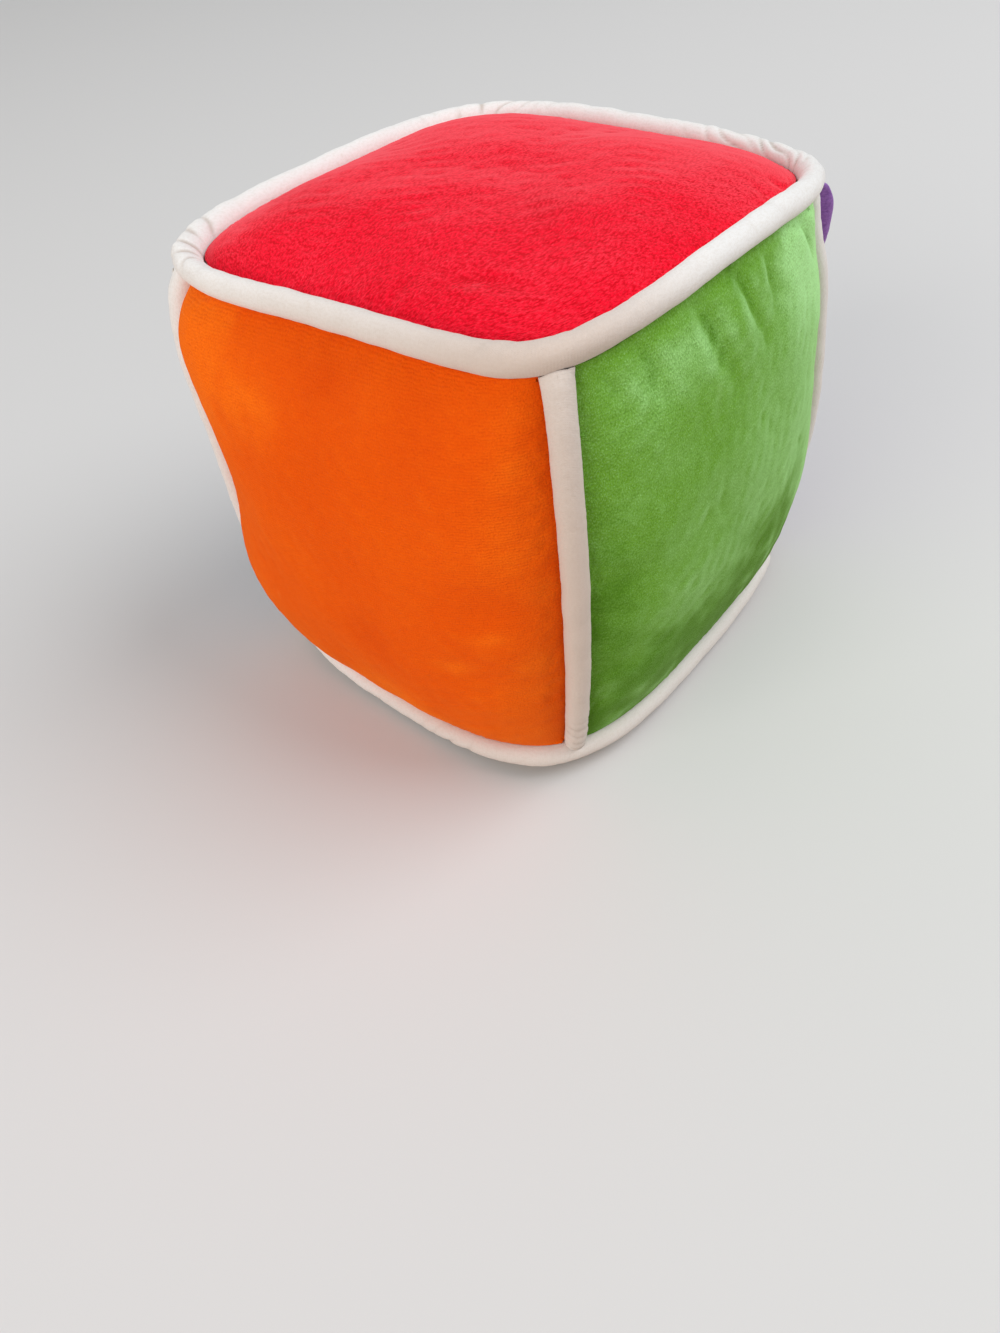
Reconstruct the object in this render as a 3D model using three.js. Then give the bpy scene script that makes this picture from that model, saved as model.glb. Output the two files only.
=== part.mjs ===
// A stuffed colour cube: six short-pile faces, corded piping along all twelve edges, and one soft filling.
// Millimetres, +Z up. The cube stands on its flattened bottom, with the middle of its outline on the origin.
import * as THREE from "three";
import { ConvexGeometry } from "three/addons/geometries/ConvexGeometry.js";

// Driving dimensions of the cube
const halfWidth = 63.5; // middle of the cube to the cord of a seam, halfway along an edge
const topSeamHeight = 132; // floor to the cord of the top seam
const bottomSeamHeight = 5.4; // floor to the cord of the bottom seam
const frontCrown = 11; // how far the front and back swell past their seams
const sideCrown = 5; // the same for the left and right
const topCrown = 12; // how far the top rises above its seam
const bottomSag = 12; // how far the bottom would hang if the floor did not flatten it
const seamSwell = 8.5; // how far the upright seams bow out at half height
const cornerDraw = 3; // how far the corners draw the top and bottom seams together

// The fabrics and the seams
const faceThickness = 1.5;
const foldRadius = 1.8; // outside radius of the fold where a face turns into its seam
const allowance = 5; // width of the edge that each face turns in
const cordRadius = 2.4;
const cordPlay = 0.4; // between the cord and its cover
const coverThickness = 0.6;
const slitWidth = 0.3; // between the two layers of a cover's flange
const seamPlay = 0.3; // between pieces that are sewn together
const fillingPlay = 0.7; // between the faces and the filling
const endRound = 7; // radius of a side's corners, where three seams meet
const cornerTurn = 1; // width of the turned-in edge at those corners, where it is clipped

// Outline and swell of the form, as powers of a rounded square and of a dome
const squarePower = 4;
const domePower = 0.8; // of the upright seams
const crownPower = 0.5; // of the faces, which stand up more steeply beside the piping
const drawPower = 3;
const easePower = 14;
const crowdPower = 0.8; // below 1, the points of an edge crowd towards its rounded corners

// Rings of a face from its middle to its edge, and the rings that the filling lies against
const ringShares = [0.3, 0.52, 0.8, 0.93, 1];
const fillingRingCount = 2;
const edgeSteps = 8; // spokes along each edge of a face
const cornerSteps = 2; // steps round each corner of a face
const uprightSteps = 10; // stations along an upright seam
const cordSides = 8;
const arcSteps = 8; // sides of a cover's round part
const foldTurnShare = 1 / 3; // share of a half turn from the seam to the face's own slope
const nearShare = 1 / 50; // how near the two places are that give a seam its direction

// How far the stuffed corners and top edges have settled, as shares of the half width along X, Y and Z
const topCornerShares = {
  frontRight: [0.027, 0.012, 0.05],
  backRight: [-0.029, -0.001, -0.05],
  backLeft: [0.044, -0.004, -0.021],
  frontLeft: [-0.002, -0.061, 0.018],
};
const bottomCornerShares = {
  frontRight: [-0.047, -0.044, 0],
  backRight: [-0.075, 0.061, 0],
  backLeft: [0.072, 0.034, 0],
  frontLeft: [0.01, 0.004, 0],
};
const topEdgeShares = {
  front: [0, 0.09, -0.113],
  right: [0.046, 0, -0.001],
  back: [0, 0.029, -0.094],
  left: [-0.005, 0, -0.081],
};

// The sides and corners, by the direction that each one faces, going round from the front
const eighthTurn = Math.PI / 4;
const sides = [
  { name: "front", azimuth: -2 * eighthTurn, crown: frontCrown },
  { name: "right", azimuth: 0, crown: sideCrown },
  { name: "back", azimuth: 2 * eighthTurn, crown: frontCrown },
  { name: "left", azimuth: 4 * eighthTurn, crown: sideCrown },
];
const corners = [
  { name: "frontRight", azimuth: -eighthTurn, label: "front_right" },
  { name: "backRight", azimuth: eighthTurn, label: "back_right" },
  { name: "backLeft", azimuth: 3 * eighthTurn, label: "back_left" },
  { name: "frontLeft", azimuth: 5 * eighthTurn, label: "front_left" },
];
const up = new THREE.Vector3(0, 0, 1);
const TOP = 1;
const BOTTOM = -1;

// Sizes of the seam that follow from the fabrics
const coverInside = cordRadius + cordPlay;
const pipingRadius = coverInside + coverThickness;
const slitHalf = slitWidth / 2;
const flangeHalf = slitHalf + coverThickness;
const foldSide = flangeHalf + seamPlay + foldRadius; // middle of a face's fold, beside the seam
const foldReach = pipingRadius + seamPlay + foldRadius; // and its distance from the cord's middle
const foldDepth = Math.sqrt(foldReach ** 2 - foldSide ** 2);
const seamDepth = foldDepth + allowance;

function heading(azimuth) {
  return new THREE.Vector3(Math.cos(azimuth), Math.sin(azimuth), 0);
}

function dome(power, ...shares) {
  return shares.reduce((product, share) => product * (1 - share * share) ** power, 1);
}

function mix(from, to, share) {
  return from.clone().lerp(to, share);
}

// The cord's middle in the top or bottom seam: a rounded square, its corners drawn towards half height
function loopPoint(azimuth, level) {
  const round = Math.abs(Math.cos(azimuth)) ** squarePower + Math.abs(Math.sin(azimuth)) ** squarePower;
  const draw = cornerDraw * Math.abs(Math.sin(2 * azimuth)) ** drawPower;
  const height = level === TOP ? topSeamHeight - draw : bottomSeamHeight + draw;
  return heading(azimuth).multiplyScalar(halfWidth / round ** (1 / squarePower)).setZ(height);
}

// The cord's middle in an upright seam, from the bottom seam (share -1) to the top one (share 1)
function uprightPoint(azimuth, share) {
  const straight = mix(loopPoint(azimuth, BOTTOM), loopPoint(azimuth, TOP), (1 + share) / 2);
  return straight.addScaledVector(heading(azimuth), seamSwell * dome(domePower, share));
}

// The azimuths, round the cube, at which the faces and the piping of the closed seams have their points
function ringAzimuths() {
  return sides.flatMap((side) => {
    const along = edgeShares().map((share) => side.azimuth + share * eighthTurn);
    return [...along, side.azimuth + eighthTurn];
  });
}

// Where the points of a face's edge lie between its two rounded corners, from -1 to 1 along the seam
function edgeShares() {
  const end = 1 - endRound / halfWidth;
  return Array.from({ length: edgeSteps + 1 }, (_, step) => {
    const share = (2 * step) / edgeSteps - 1;
    return end * Math.sign(share) * Math.abs(share) ** crowdPower;
  });
}

// A place in a seam: the cord's middle, the way out of the cube and the way across the seam
function seamPlace(curve, where, step, outwards) {
  const middle = curve(where);
  const along = curve(where + step).sub(curve(where - step)).normalize();
  const outward = outwards(along).projectOnPlane(along).normalize();
  return { middle, outward, across: along.clone().cross(outward) };
}

function loopPlace(azimuth, level) {
  const curve = (angle) => loopPoint(angle, level);
  const outwards = (along) => along.clone().cross(up).normalize().addScaledVector(up, level);
  return seamPlace(curve, azimuth, nearShare * eighthTurn, outwards);
}

function uprightPlace(azimuth, share) {
  const curve = (where) => uprightPoint(azimuth, where);
  return seamPlace(curve, share, nearShare, () => heading(azimuth));
}

// A seam seen from the face on one of its sides (1 or -1)
function seenFrom(place, side) {
  return { ...place, across: place.across.clone().multiplyScalar(side) };
}

function inSeam(place, sideways, outwards) {
  return place.middle
    .clone()
    .addScaledVector(place.across, sideways)
    .addScaledVector(place.outward, outwards);
}

// The swelling skin of a side, with u running round and v upwards, both from -1 to 1
function sideSkin(side, u, v) {
  const azimuth = side.azimuth + u * eighthTurn;
  const outs = [-1, 1].map((end) => heading(side.azimuth + end * eighthTurn));
  return mix(loopPoint(azimuth, BOTTOM), loopPoint(azimuth, TOP), (1 + v) / 2)
    .addScaledVector(mix(outs[0], outs[1], (1 + u) / 2), seamSwell * dome(domePower, v))
    .addScaledVector(heading(side.azimuth), side.crown * dome(crownPower, u, v));
}

// The top, domed, and the bottom, which the floor flattens; share runs from the middle to the seam
function capSkin(level, azimuth, share) {
  const rim = loopPoint(azimuth, level);
  const flat = level === TOP ? topSeamHeight : bottomSeamHeight;
  const swell = level === TOP ? topCrown : -bottomSag;
  const height = flat + (rim.z - flat) * share ** squarePower + swell * dome(crownPower, share);
  return new THREE.Vector3(rim.x * share, rim.y * share, Math.max(height, 0));
}

// Round the outline of a side: its four seams in turn, with a rounded corner between each two
function sideSpokes(side) {
  const end = edgeShares().at(-1);
  const ends = [-1, 1].map((turn) => side.azimuth + turn * eighthTurn);
  const edges = [
    { at: (w) => seenFrom(loopPlace(side.azimuth + w * eighthTurn, BOTTOM), -1), spot: (w) => [w, -1] },
    { at: (w) => seenFrom(uprightPlace(ends[1], w), -1), spot: (w) => [1, w] },
    { at: (w) => seenFrom(loopPlace(side.azimuth - w * eighthTurn, TOP), 1), spot: (w) => [-w, 1] },
    { at: (w) => seenFrom(uprightPlace(ends[0], -w), 1), spot: (w) => [-1, -w] },
  ];
  const spokes = [];
  edges.forEach((edge, index) => {
    edgeShares().forEach((where) => {
      spokes.push({ place: edge.at(where), spot: edge.spot(where), turnIn: allowance });
    });
    const next = edges[(index + 1) % edges.length];
    const [from, to, tip] = [edge.at(end), next.at(-end), edge.at(1)];
    const spots = [edge.spot(end), next.spot(-end), edge.spot(1)];
    for (let step = 1; step < cornerSteps; step++) {
      const angle = (2 * eighthTurn * step) / cornerSteps;
      const turn = { from: 1 - Math.sin(angle), to: 1 - Math.cos(angle) };
      const middle = tip.middle
        .clone()
        .addScaledVector(from.middle.clone().sub(tip.middle), turn.from)
        .addScaledVector(to.middle.clone().sub(tip.middle), turn.to);
      const outward = mix(from.outward, to.outward, step / cornerSteps).normalize();
      const across = mix(from.across, to.across, step / cornerSteps).projectOnPlane(outward).normalize();
      const spot = spots[2].map(
        (value, axis) => value + (spots[0][axis] - value) * turn.from + (spots[1][axis] - value) * turn.to,
      );
      spokes.push({ place: { middle, outward, across }, spot, turnIn: cornerTurn });
    }
  });
  const insetShare = (foldSide + foldRadius) / halfWidth;
  const skin = (spoke, share) =>
    sideSkin(side, ...spoke.spot.map((value) => value * share * (1 - insetShare)));
  return { spokes, skin };
}

function capSpokes(level) {
  const insetShare = (foldSide + foldRadius) / halfWidth;
  const azimuths = level === TOP ? ringAzimuths() : ringAzimuths().reverse();
  const spokes = azimuths.map((azimuth) => {
    return { place: seenFrom(loopPlace(azimuth, level), -level), azimuth, turnIn: allowance };
  });
  const skin = (spoke, share) => capSkin(level, spoke.azimuth, share * (1 - insetShare));
  return { spokes, skin };
}

// The pile side of a face, ring by ring, eased at its edge on to the fold that turns into the seam
function pileRings({ spokes, skin }) {
  const slope = foldTurnShare * Math.PI;
  const edges = spokes.map(({ place }) =>
    inSeam(place, foldSide + foldRadius * Math.cos(slope), foldRadius * Math.sin(slope) - foldDepth),
  );
  const eases = spokes.map((spoke, index) => edges[index].clone().sub(skin(spoke, 1)));
  return ringShares.map((share) =>
    spokes.map((spoke, index) => {
      const point = skin(spoke, share).addScaledVector(eases[index], share ** easePower);
      return point.setZ(Math.max(point.z, 0));
    }),
  );
}

// The rings moved into the cube by a distance, square to the surface that they lie on
function movedIn(rings, pole, distance) {
  return rings.map((ring, level) =>
    ring.map((point, index) => {
      const before = ring[(index + ring.length - 1) % ring.length];
      const after = ring[(index + 1) % ring.length];
      const inner = level ? rings[level - 1][index] : pole;
      const outer = level + 1 < rings.length ? rings[level + 1][index] : point;
      const normal = outer.clone().sub(inner).cross(after.clone().sub(before)).normalize();
      return point.clone().addScaledVector(normal, -distance);
    }),
  );
}

function middleOf(points) {
  return points.reduce((sum, point) => sum.add(point), new THREE.Vector3()).divideScalar(points.length);
}

// One closed surface through rings of equal length, with a point at each end
function ringedGeometry(rings, firstPole, lastPole) {
  const points = [firstPole, ...rings.flat(), lastPole];
  const count = rings[0].length;
  const faces = [];
  rings.forEach((ring, level) => {
    for (let index = 0; index < count; index++) {
      const next = (index + 1) % count;
      const here = 1 + level * count;
      if (level === 0) faces.push(0, here + index, here + next);
      if (level + 1 < rings.length) {
        faces.push(here + index, here + count + index, here + count + next);
        faces.push(here + index, here + count + next, here + next);
      } else {
        faces.push(here + index, points.length - 1, here + next);
      }
    }
  });
  return geometryOf(points, faces);
}

function geometryOf(points, faces) {
  const geometry = new THREE.BufferGeometry().setFromPoints(points);
  geometry.setIndex(faces);
  geometry.computeVertexNormals();
  return geometry;
}

// How the stuffed form has settled: its corners and top edges carry the points near them along
function settled(point) {
  const span = topSeamHeight - bottomSeamHeight;
  const rise = THREE.MathUtils.clamp((point.z - bottomSeamHeight) / span, 0, 1);
  const [across, deep] = [point.x / halfWidth, point.y / halfWidth];
  const moved = point.clone();
  const carry = (shares, weight) => moved.addScaledVector(new THREE.Vector3(...shares), weight * halfWidth);
  corners.forEach(({ name, azimuth }) => {
    const [signX, signY] = [Math.sign(Math.cos(azimuth)), Math.sign(Math.sin(azimuth))];
    const near = ((1 + signX * across) * (1 + signY * deep)) / 4;
    carry(topCornerShares[name], near * rise);
    carry(bottomCornerShares[name], near * (1 - rise));
  });
  sides.forEach(({ name, azimuth }) => {
    const out = heading(azimuth);
    const toward = across * out.x + deep * out.y;
    const aside = across * out.y - deep * out.x;
    carry(topEdgeShares[name], (rise * (1 + toward) * Math.max(1 - aside * aside, 0)) / 2);
  });
  return moved;
}

// A face of the cube: a shell with its pile side out and its edges turned in along the seams
function faceShell(outline, pole) {
  const pile = pileRings(outline);
  const back = movedIn(pile, pole, faceThickness);
  const folds = [foldTurnShare + (1 - foldTurnShare) / 2, 1].map((share) =>
    outline.spokes.map(({ place }) =>
      inSeam(
        place,
        foldSide + foldRadius * Math.cos(share * Math.PI),
        foldRadius * Math.sin(share * Math.PI) - foldDepth,
      ),
    ),
  );
  const pileSide = foldSide - foldRadius;
  const backSide = pileSide + faceThickness;
  const turned = [
    [pileSide, 1],
    [backSide, 1],
    [backSide, 0],
  ].map(([aside, share]) =>
    outline.spokes.map(({ place, turnIn }) => inSeam(place, aside, -foldDepth - turnIn * share)),
  );
  const inside = back.slice(0, -1).reverse();
  const rings = [...pile, ...folds, ...turned, ...inside];
  const inward = middleOf(back[0]).sub(middleOf(pile[0])).normalize();
  const backPole = pole.clone().addScaledVector(inward, faceThickness);
  return { rings, pole, backPole, back };
}

// A sweep of a section along a seam; every section point is a distance across the seam and one out of it
function sweptGeometry(section, stations, closed) {
  const count = section.length;
  const points = stations.flatMap((placeFor) =>
    section.map((spot) => inSeam(placeFor(spot.y), spot.x, spot.y)),
  );
  const faces = [];
  const last = closed ? stations.length : stations.length - 1;
  for (let station = 0; station < last; station++) {
    const here = station * count;
    const there = ((station + 1) % stations.length) * count;
    for (let index = 0; index < count; index++) {
      const next = (index + 1) % count;
      faces.push(here + index, there + next, there + index);
      faces.push(here + index, here + next, there + next);
    }
  }
  if (!closed) {
    const end = (stations.length - 1) * count;
    THREE.ShapeUtils.triangulateShape(section, []).forEach(([a, b, c]) => {
      faces.push(a, b, c);
      faces.push(end + a, end + c, end + b);
    });
  }
  return geometryOf(points, faces);
}

function arc(radius, from, to, steps) {
  return Array.from({ length: steps + 1 }, (_, step) => {
    const angle = from + ((to - from) * step) / steps;
    return new THREE.Vector2(radius * Math.sin(angle), radius * Math.cos(angle));
  });
}

// A cover's section: a strip wrapped round the cord, its two ends side by side in the seam
function coverSection() {
  const outerTurn = Math.PI - Math.asin(flangeHalf / pipingRadius);
  const innerTurn = Math.PI - Math.asin(slitHalf / coverInside);
  return [
    new THREE.Vector2(-flangeHalf, -seamDepth),
    ...arc(pipingRadius, -outerTurn, outerTurn, arcSteps),
    new THREE.Vector2(flangeHalf, -seamDepth),
    new THREE.Vector2(slitHalf, -seamDepth),
    ...arc(coverInside, innerTurn, -innerTurn, arcSteps),
    new THREE.Vector2(-slitHalf, -seamDepth),
  ];
}

function cordSection() {
  return arc(cordRadius, 0, 2 * Math.PI, cordSides).slice(0, -1);
}

function loopStations(level) {
  return ringAzimuths().map((azimuth) => {
    const place = loopPlace(azimuth, level);
    return () => place;
  });
}

// An upright strip is hollowed at its ends to meet the closed seams' piping, and cut back along their flanges
function uprightStations(azimuth) {
  const half = (topSeamHeight - bottomSeamHeight) / 2 - cornerDraw;
  const reach = pipingRadius + seamPlay;
  const flangeClear = (flangeHalf + seamPlay) * Math.SQRT2;
  return Array.from({ length: uprightSteps + 1 }, (_, step) => (outwards) => {
    const hollow = Math.sqrt(Math.max(reach ** 2 - outwards ** 2, 0));
    const cut = Math.max(hollow, flangeClear - outwards);
    return uprightPlace(azimuth, (1 - cut / half) * ((2 * step) / uprightSteps - 1));
  });
}

// Finishes, in the colours of the photographed cube; the two faces that it hides are a free choice
const finishes = {
  red: { color: 0xd2152b, roughness: 0.95 },
  orange: { color: 0xf26a12, roughness: 0.9 },
  green: { color: 0x5fae37, roughness: 0.9 },
  purple: { color: 0x5c3d9c, roughness: 0.9 },
  blue: { color: 0x2763c0, roughness: 0.9 },
  yellow: { color: 0xf3c623, roughness: 0.9 },
  piping: { color: 0xe9e5dc, roughness: 0.85 },
  cord: { color: 0xf2efe6, roughness: 0.9 },
  filling: { color: 0xf8f7f3, roughness: 1 },
};

const cube = new THREE.Group();

function addPiece(name, finish, geometry) {
  const material = new THREE.MeshStandardMaterial({ metalness: 0, ...finishes[finish] });
  const mesh = new THREE.Mesh(geometry, material);
  mesh.name = name;
  cube.add(mesh);
}

function settledGeometry(geometry) {
  const places = geometry.attributes.position;
  for (let index = 0; index < places.count; index++) {
    const point = settled(new THREE.Vector3().fromBufferAttribute(places, index));
    places.setXYZ(index, point.x, point.y, point.z);
  }
  geometry.computeVertexNormals();
  return geometry;
}

// The six faces
const faceFinishes = { front: "orange", right: "green", back: "purple", left: "blue" };
const liningPoints = [];

function addFace(name, finish, outline, pole) {
  const shell = faceShell(outline, pole);
  addPiece(name, finish, settledGeometry(ringedGeometry(shell.rings, shell.pole, shell.backPole)));
  const seats = movedIn(shell.back, shell.backPole, fillingPlay).slice(0, fillingRingCount);
  liningPoints.push(...seats.flat().map(settled));
}

addFace("red_top_face", "red", capSpokes(TOP), capSkin(TOP, 0, 0));
addFace("yellow_bottom_face", "yellow", capSpokes(BOTTOM), capSkin(BOTTOM, 0, 0));
sides.forEach((side) => {
  const finish = faceFinishes[side.name];
  addFace(`${finish}_${side.name}_face`, finish, sideSpokes(side), sideSkin(side, 0, 0));
});

// The piping: a cover and its cord round the top and the bottom, and up each corner
function addPiping(name, stations, closed) {
  const cover = sweptGeometry(coverSection(), stations, closed);
  const cord = sweptGeometry(cordSection(), stations, closed);
  addPiece(`${name}_piping_cover`, "piping", settledGeometry(cover));
  addPiece(`${name}_piping_cord`, "cord", settledGeometry(cord));
}

[
  ["top", TOP],
  ["bottom", BOTTOM],
].forEach(([name, level]) => {
  addPiping(name, loopStations(level), true);
});
corners.forEach(({ label, azimuth }) => {
  addPiping(label, uprightStations(azimuth), false);
});

// The filling, packed against the backs of all six faces
addPiece("fibre_filling", "filling", new ConvexGeometry(liningPoints));

// The middle of the outline comes over the origin
const middle = new THREE.Box3().setFromObject(cube).getCenter(new THREE.Vector3());
cube.position.set(-middle.x, -middle.y, 0);

export default cube;
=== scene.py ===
# %% [markdown]
# # A stuffed colour cube in short-pile plush
# The object is a soft cube: six plush faces in six colours, sewn together with corded white piping in every
# seam and packed with loose fibre. The solids that MuJoCo uses are loaded first and never changed. Every
# visible piece is then worked out as a surface with numpy in the same frame, and stands for the solid of the
# same name.

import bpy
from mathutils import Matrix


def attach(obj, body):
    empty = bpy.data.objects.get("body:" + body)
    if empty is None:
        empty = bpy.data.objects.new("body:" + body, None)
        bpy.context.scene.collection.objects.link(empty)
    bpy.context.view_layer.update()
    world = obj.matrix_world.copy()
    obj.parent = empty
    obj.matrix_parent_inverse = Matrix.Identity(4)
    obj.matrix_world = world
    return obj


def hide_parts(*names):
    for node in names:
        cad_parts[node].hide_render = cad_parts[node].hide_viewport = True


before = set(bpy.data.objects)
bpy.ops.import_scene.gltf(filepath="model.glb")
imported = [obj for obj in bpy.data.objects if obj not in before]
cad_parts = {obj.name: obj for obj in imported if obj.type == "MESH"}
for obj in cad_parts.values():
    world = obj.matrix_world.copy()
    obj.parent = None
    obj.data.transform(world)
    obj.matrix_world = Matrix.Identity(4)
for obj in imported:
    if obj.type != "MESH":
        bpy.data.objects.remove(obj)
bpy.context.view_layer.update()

# %% Modules and shared lengths
import math

import bpy
import numpy as np
from mathutils import Matrix, Vector

mm = 0.001
half_width = 63.5 * mm  # middle of the cube to the cord of a seam, halfway along an edge
top_seam_height = 132 * mm
bottom_seam_height = 5.4 * mm
front_crown = 10.6 * mm  # how far the front and back swell past their seams
side_crown = 3.7 * mm
top_crown = 10 * mm
bottom_sag = 12 * mm
corner_draw = 3 * mm  # how far the corners draw the top and bottom seams together
outline_shift = np.array([-0.8, -1.9, 0.0]) * mm  # brings the middle of the outline over the origin
square_power = 4
seam_power = 0.8  # how full the bow of an upright seam is
face_power = 0.5  # and the crown of a face: below 0.8, the plush stands up steeply beside the piping
draw_power = 3
TOP, BOTTOM = 1, -1
print("seam to seam in mm:", round(2 * half_width / mm, 1))

# %% [markdown]
# ## The seams
# On the real cube the seams are the skeleton: two closed loops, round the top and the bottom, and four
# uprights. They could be drawn as Bezier curves by hand, but everything else hangs on them, so here each one is
# a formula of one parameter: a rounded square for the loops, and a straight line that bows out for the
# uprights. Each upright has a bow of its own, because a hand-sewn and unevenly stuffed cube is never regular.

# %% The numbers of the seams
corners = {  # swell and bow in mm; turns in degrees, at the top and at the bottom seam; dents: place, width, mm
    "front_right": {"azimuth": -45, "swell": 6.5, "turns": (1.1, 3.6), "bow": (1.2, 1.3), "dents": ()},
    "back_right": {
        "azimuth": 45, "swell": 10.1, "turns": (0, 0), "bow": (0, 0),
        "dents": ((0.8, 0.2, 4.5), (0.3, 0.3, 0.6), (-0.4, 0.35, -0.9)),
    },
    "back_left": {"azimuth": 135, "swell": 6.1, "turns": (0, 0), "bow": (0, 0), "dents": ()},
    "front_left": {
        "azimuth": 225, "swell": 10.2, "turns": (0, 0), "bow": (0, 0),
        "dents": ((0.12, 0.45, 2.6), (-0.7, 0.25, -1.0)),
    },
}
puffs = {TOP: [(-46, 9.5, 3.4)], BOTTOM: []}  # where the filling pushes a seam out: azimuth, width, mm
print("corners:", list(corners))


# %% Small functions that many shapes share
def heading(azimuth):
    """The level direction at an azimuth: its cosine, its sine and zero."""
    azimuth = np.asarray(azimuth, float)
    return np.stack([np.cos(azimuth), np.sin(azimuth), np.zeros_like(azimuth)], axis=-1)


def dome(share, power):
    """One minus the square of the share, to a power: 1 in the middle and 0 at both ends."""
    return np.clip(1 - np.asarray(share, float) ** 2, 0, None) ** power


def hill(u, v, across, up, width, height):
    """A hill of height 1 at (across, up): exp of minus the sum of the squared distances over the two sizes."""
    return np.exp(-(((u - across) / width) ** 2) - ((v - up) / height) ** 2)


def mix(a, b, share):
    """a plus share times the way from a to b, with one share for each point."""
    return a + (b - a) * np.asarray(share, float)[..., None]


def unit(vectors):
    """Each vector over its own length."""
    return vectors / np.linalg.norm(vectors, axis=-1, keepdims=True)


print("a dome at 0, 0.5 and 1:", dome([0, 0.5, 1], seam_power).round(3))


# %% The seam lines as functions
def loop_point(azimuth, level):
    """A rounded square: half the width over the fourth root of cos^4 + sin^4, with its corners drawn to half
    height, and pushed out by a small hill, exp of minus the squared angle, at each puff."""
    azimuth = np.asarray(azimuth, float)
    rounded = np.abs(np.cos(azimuth)) ** square_power + np.abs(np.sin(azimuth)) ** square_power
    draw = corner_draw * np.abs(np.sin(2 * azimuth)) ** draw_power
    reach = half_width / rounded ** (1 / square_power)
    for where, width, amount in puffs[level]:
        away = (np.degrees(azimuth) - where + 180) % 360 - 180
        reach = reach + amount * mm * np.exp(-((away / width) ** 2))
    point = heading(azimuth) * reach[..., None]
    point[..., 2] = top_seam_height - draw if level == TOP else bottom_seam_height + draw
    return point


def seam_turn(name, level):
    """The degrees by which a corner's upright seam is turned where it meets the top or the bottom seam."""
    return corners[name]["turns"][0 if level == TOP else 1]


def corner_azimuth(name, level):
    """The azimuth at which a corner's upright seam meets the top or the bottom seam."""
    return math.radians(corners[name]["azimuth"] + seam_turn(name, level))


def upright_bulge(name, share):
    """How far an upright seam leaves its straight line: its swell times a dome, less its dents, outwards, plus a
    parabola. A dent is a hill exp of minus the squared distance over its width, and fades at the seam's ends."""
    share = np.asarray(share, float)
    out = corners[name]["swell"] * dome(share, seam_power)
    for where, width, depth in corners[name]["dents"]:
        out = out - depth * np.exp(-(((share - where) / width) ** 2)) * dome(share, 1)
    bow = np.array([*corners[name]["bow"], 0.0]) * mm
    return heading(math.radians(corners[name]["azimuth"])) * out[..., None] * mm + bow * (1 - share**2)[..., None]


def upright_point(name, share):
    """From the bottom seam (share -1) to the top seam (share 1): a straight line plus the seam's own bulge."""
    ends = [loop_point(corner_azimuth(name, level), level) for level in (BOTTOM, TOP)]
    return mix(ends[0], ends[1], (1 + np.asarray(share, float)) / 2) + upright_bulge(name, share)


print("middle of an upright seam:", upright_point("front_right", np.zeros(1)).round(4))


# %% The directions along and across a seam
angle_step, share_step = math.radians(1), 0.02  # half the distance over which a seam's direction is taken


def seam_frame(curve, where, step, hint):
    """Middle, outward and across. Along is the central difference of the curve; outward is the hint less its
    part along the seam; across is along x outward."""
    along = unit(curve(where + step) - curve(where - step))
    out = hint(along)
    outward = unit(out - along * np.sum(out * along, axis=-1, keepdims=True))
    return curve(where), outward, np.cross(along, outward)


def loop_frame(azimuth, level):
    """The frame of a closed seam: outwards is halfway between level and straight up (or down)."""
    up = np.array([0.0, 0.0, 1.0])
    hint = lambda along: unit(np.cross(along, up)) + up * level
    return seam_frame(lambda angle: loop_point(angle, level), azimuth, angle_step, hint)


def upright_frame(name, share):
    """The frame of an upright seam: outwards is along the cube's diagonal."""
    out = heading(math.radians(corners[name]["azimuth"]))
    hint = lambda along: np.broadcast_to(out, along.shape)
    return seam_frame(lambda at: upright_point(name, at), share, share_step, hint)


print("outwards at a corner:", upright_frame("front_right", np.zeros(1))[1].round(3))


# %% [markdown]
# ## How the stuffed form has settled
# A soft cube leans and sinks. Instead of bending every seam by hand, one smooth map moves all points: each
# corner and each top edge carries the space near it along by a small share of the half width.

# %% The settling map
top_corner_shares = {
    "front_right": (0.027, 0.012, 0.05),
    "back_right": (-0.029, -0.001, -0.05),
    "back_left": (0.044, -0.004, -0.021),
    "front_left": (-0.002, -0.061, 0.018),
}
bottom_corner_shares = {
    "front_right": (-0.047, -0.044, 0),
    "back_right": (-0.075, 0.061, 0),
    "back_left": (0.072, 0.034, 0),
    "front_left": (0.01, 0.004, 0),
}
top_edge_shares = {
    -90: (0, 0.09, -0.113),
    0: (0.046, 0, -0.001),
    90: (0, 0.029, -0.094),
    180: (-0.005, 0, -0.081),
}


def settled(point):
    """Adds, for each corner and each top edge, its shift times a weight that falls to 0 at the far side: the
    product of (1 + x)(1 + y) / 4 and the height for a corner, and of (1 + out)(1 - aside^2) / 2 for an edge."""
    rise = np.clip((point[..., 2] - bottom_seam_height) / (top_seam_height - bottom_seam_height), 0, 1)
    across, deep = point[..., 0] / half_width, point[..., 1] / half_width
    moved = point.copy()
    for name, corner in corners.items():
        sign_x, sign_y = np.sign(heading(math.radians(corner["azimuth"]))[:2])
        near = (1 + sign_x * across) * (1 + sign_y * deep) / 4 * half_width
        moved += (near * rise)[..., None] * np.array(top_corner_shares[name])
        moved += (near * (1 - rise))[..., None] * np.array(bottom_corner_shares[name])
    for azimuth, shares in top_edge_shares.items():
        out = heading(math.radians(azimuth))
        toward = across * out[0] + deep * out[1]
        aside = across * out[1] - deep * out[0]
        weight = rise * (1 + toward) * np.clip(1 - aside**2, 0, None) / 2 * half_width
        moved += weight[..., None] * np.array(shares)
    return moved + outline_shift


print("near upright, bottom and top:", settled(upright_point("front_right", np.array([-1.0, 1.0]))).round(4))

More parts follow.
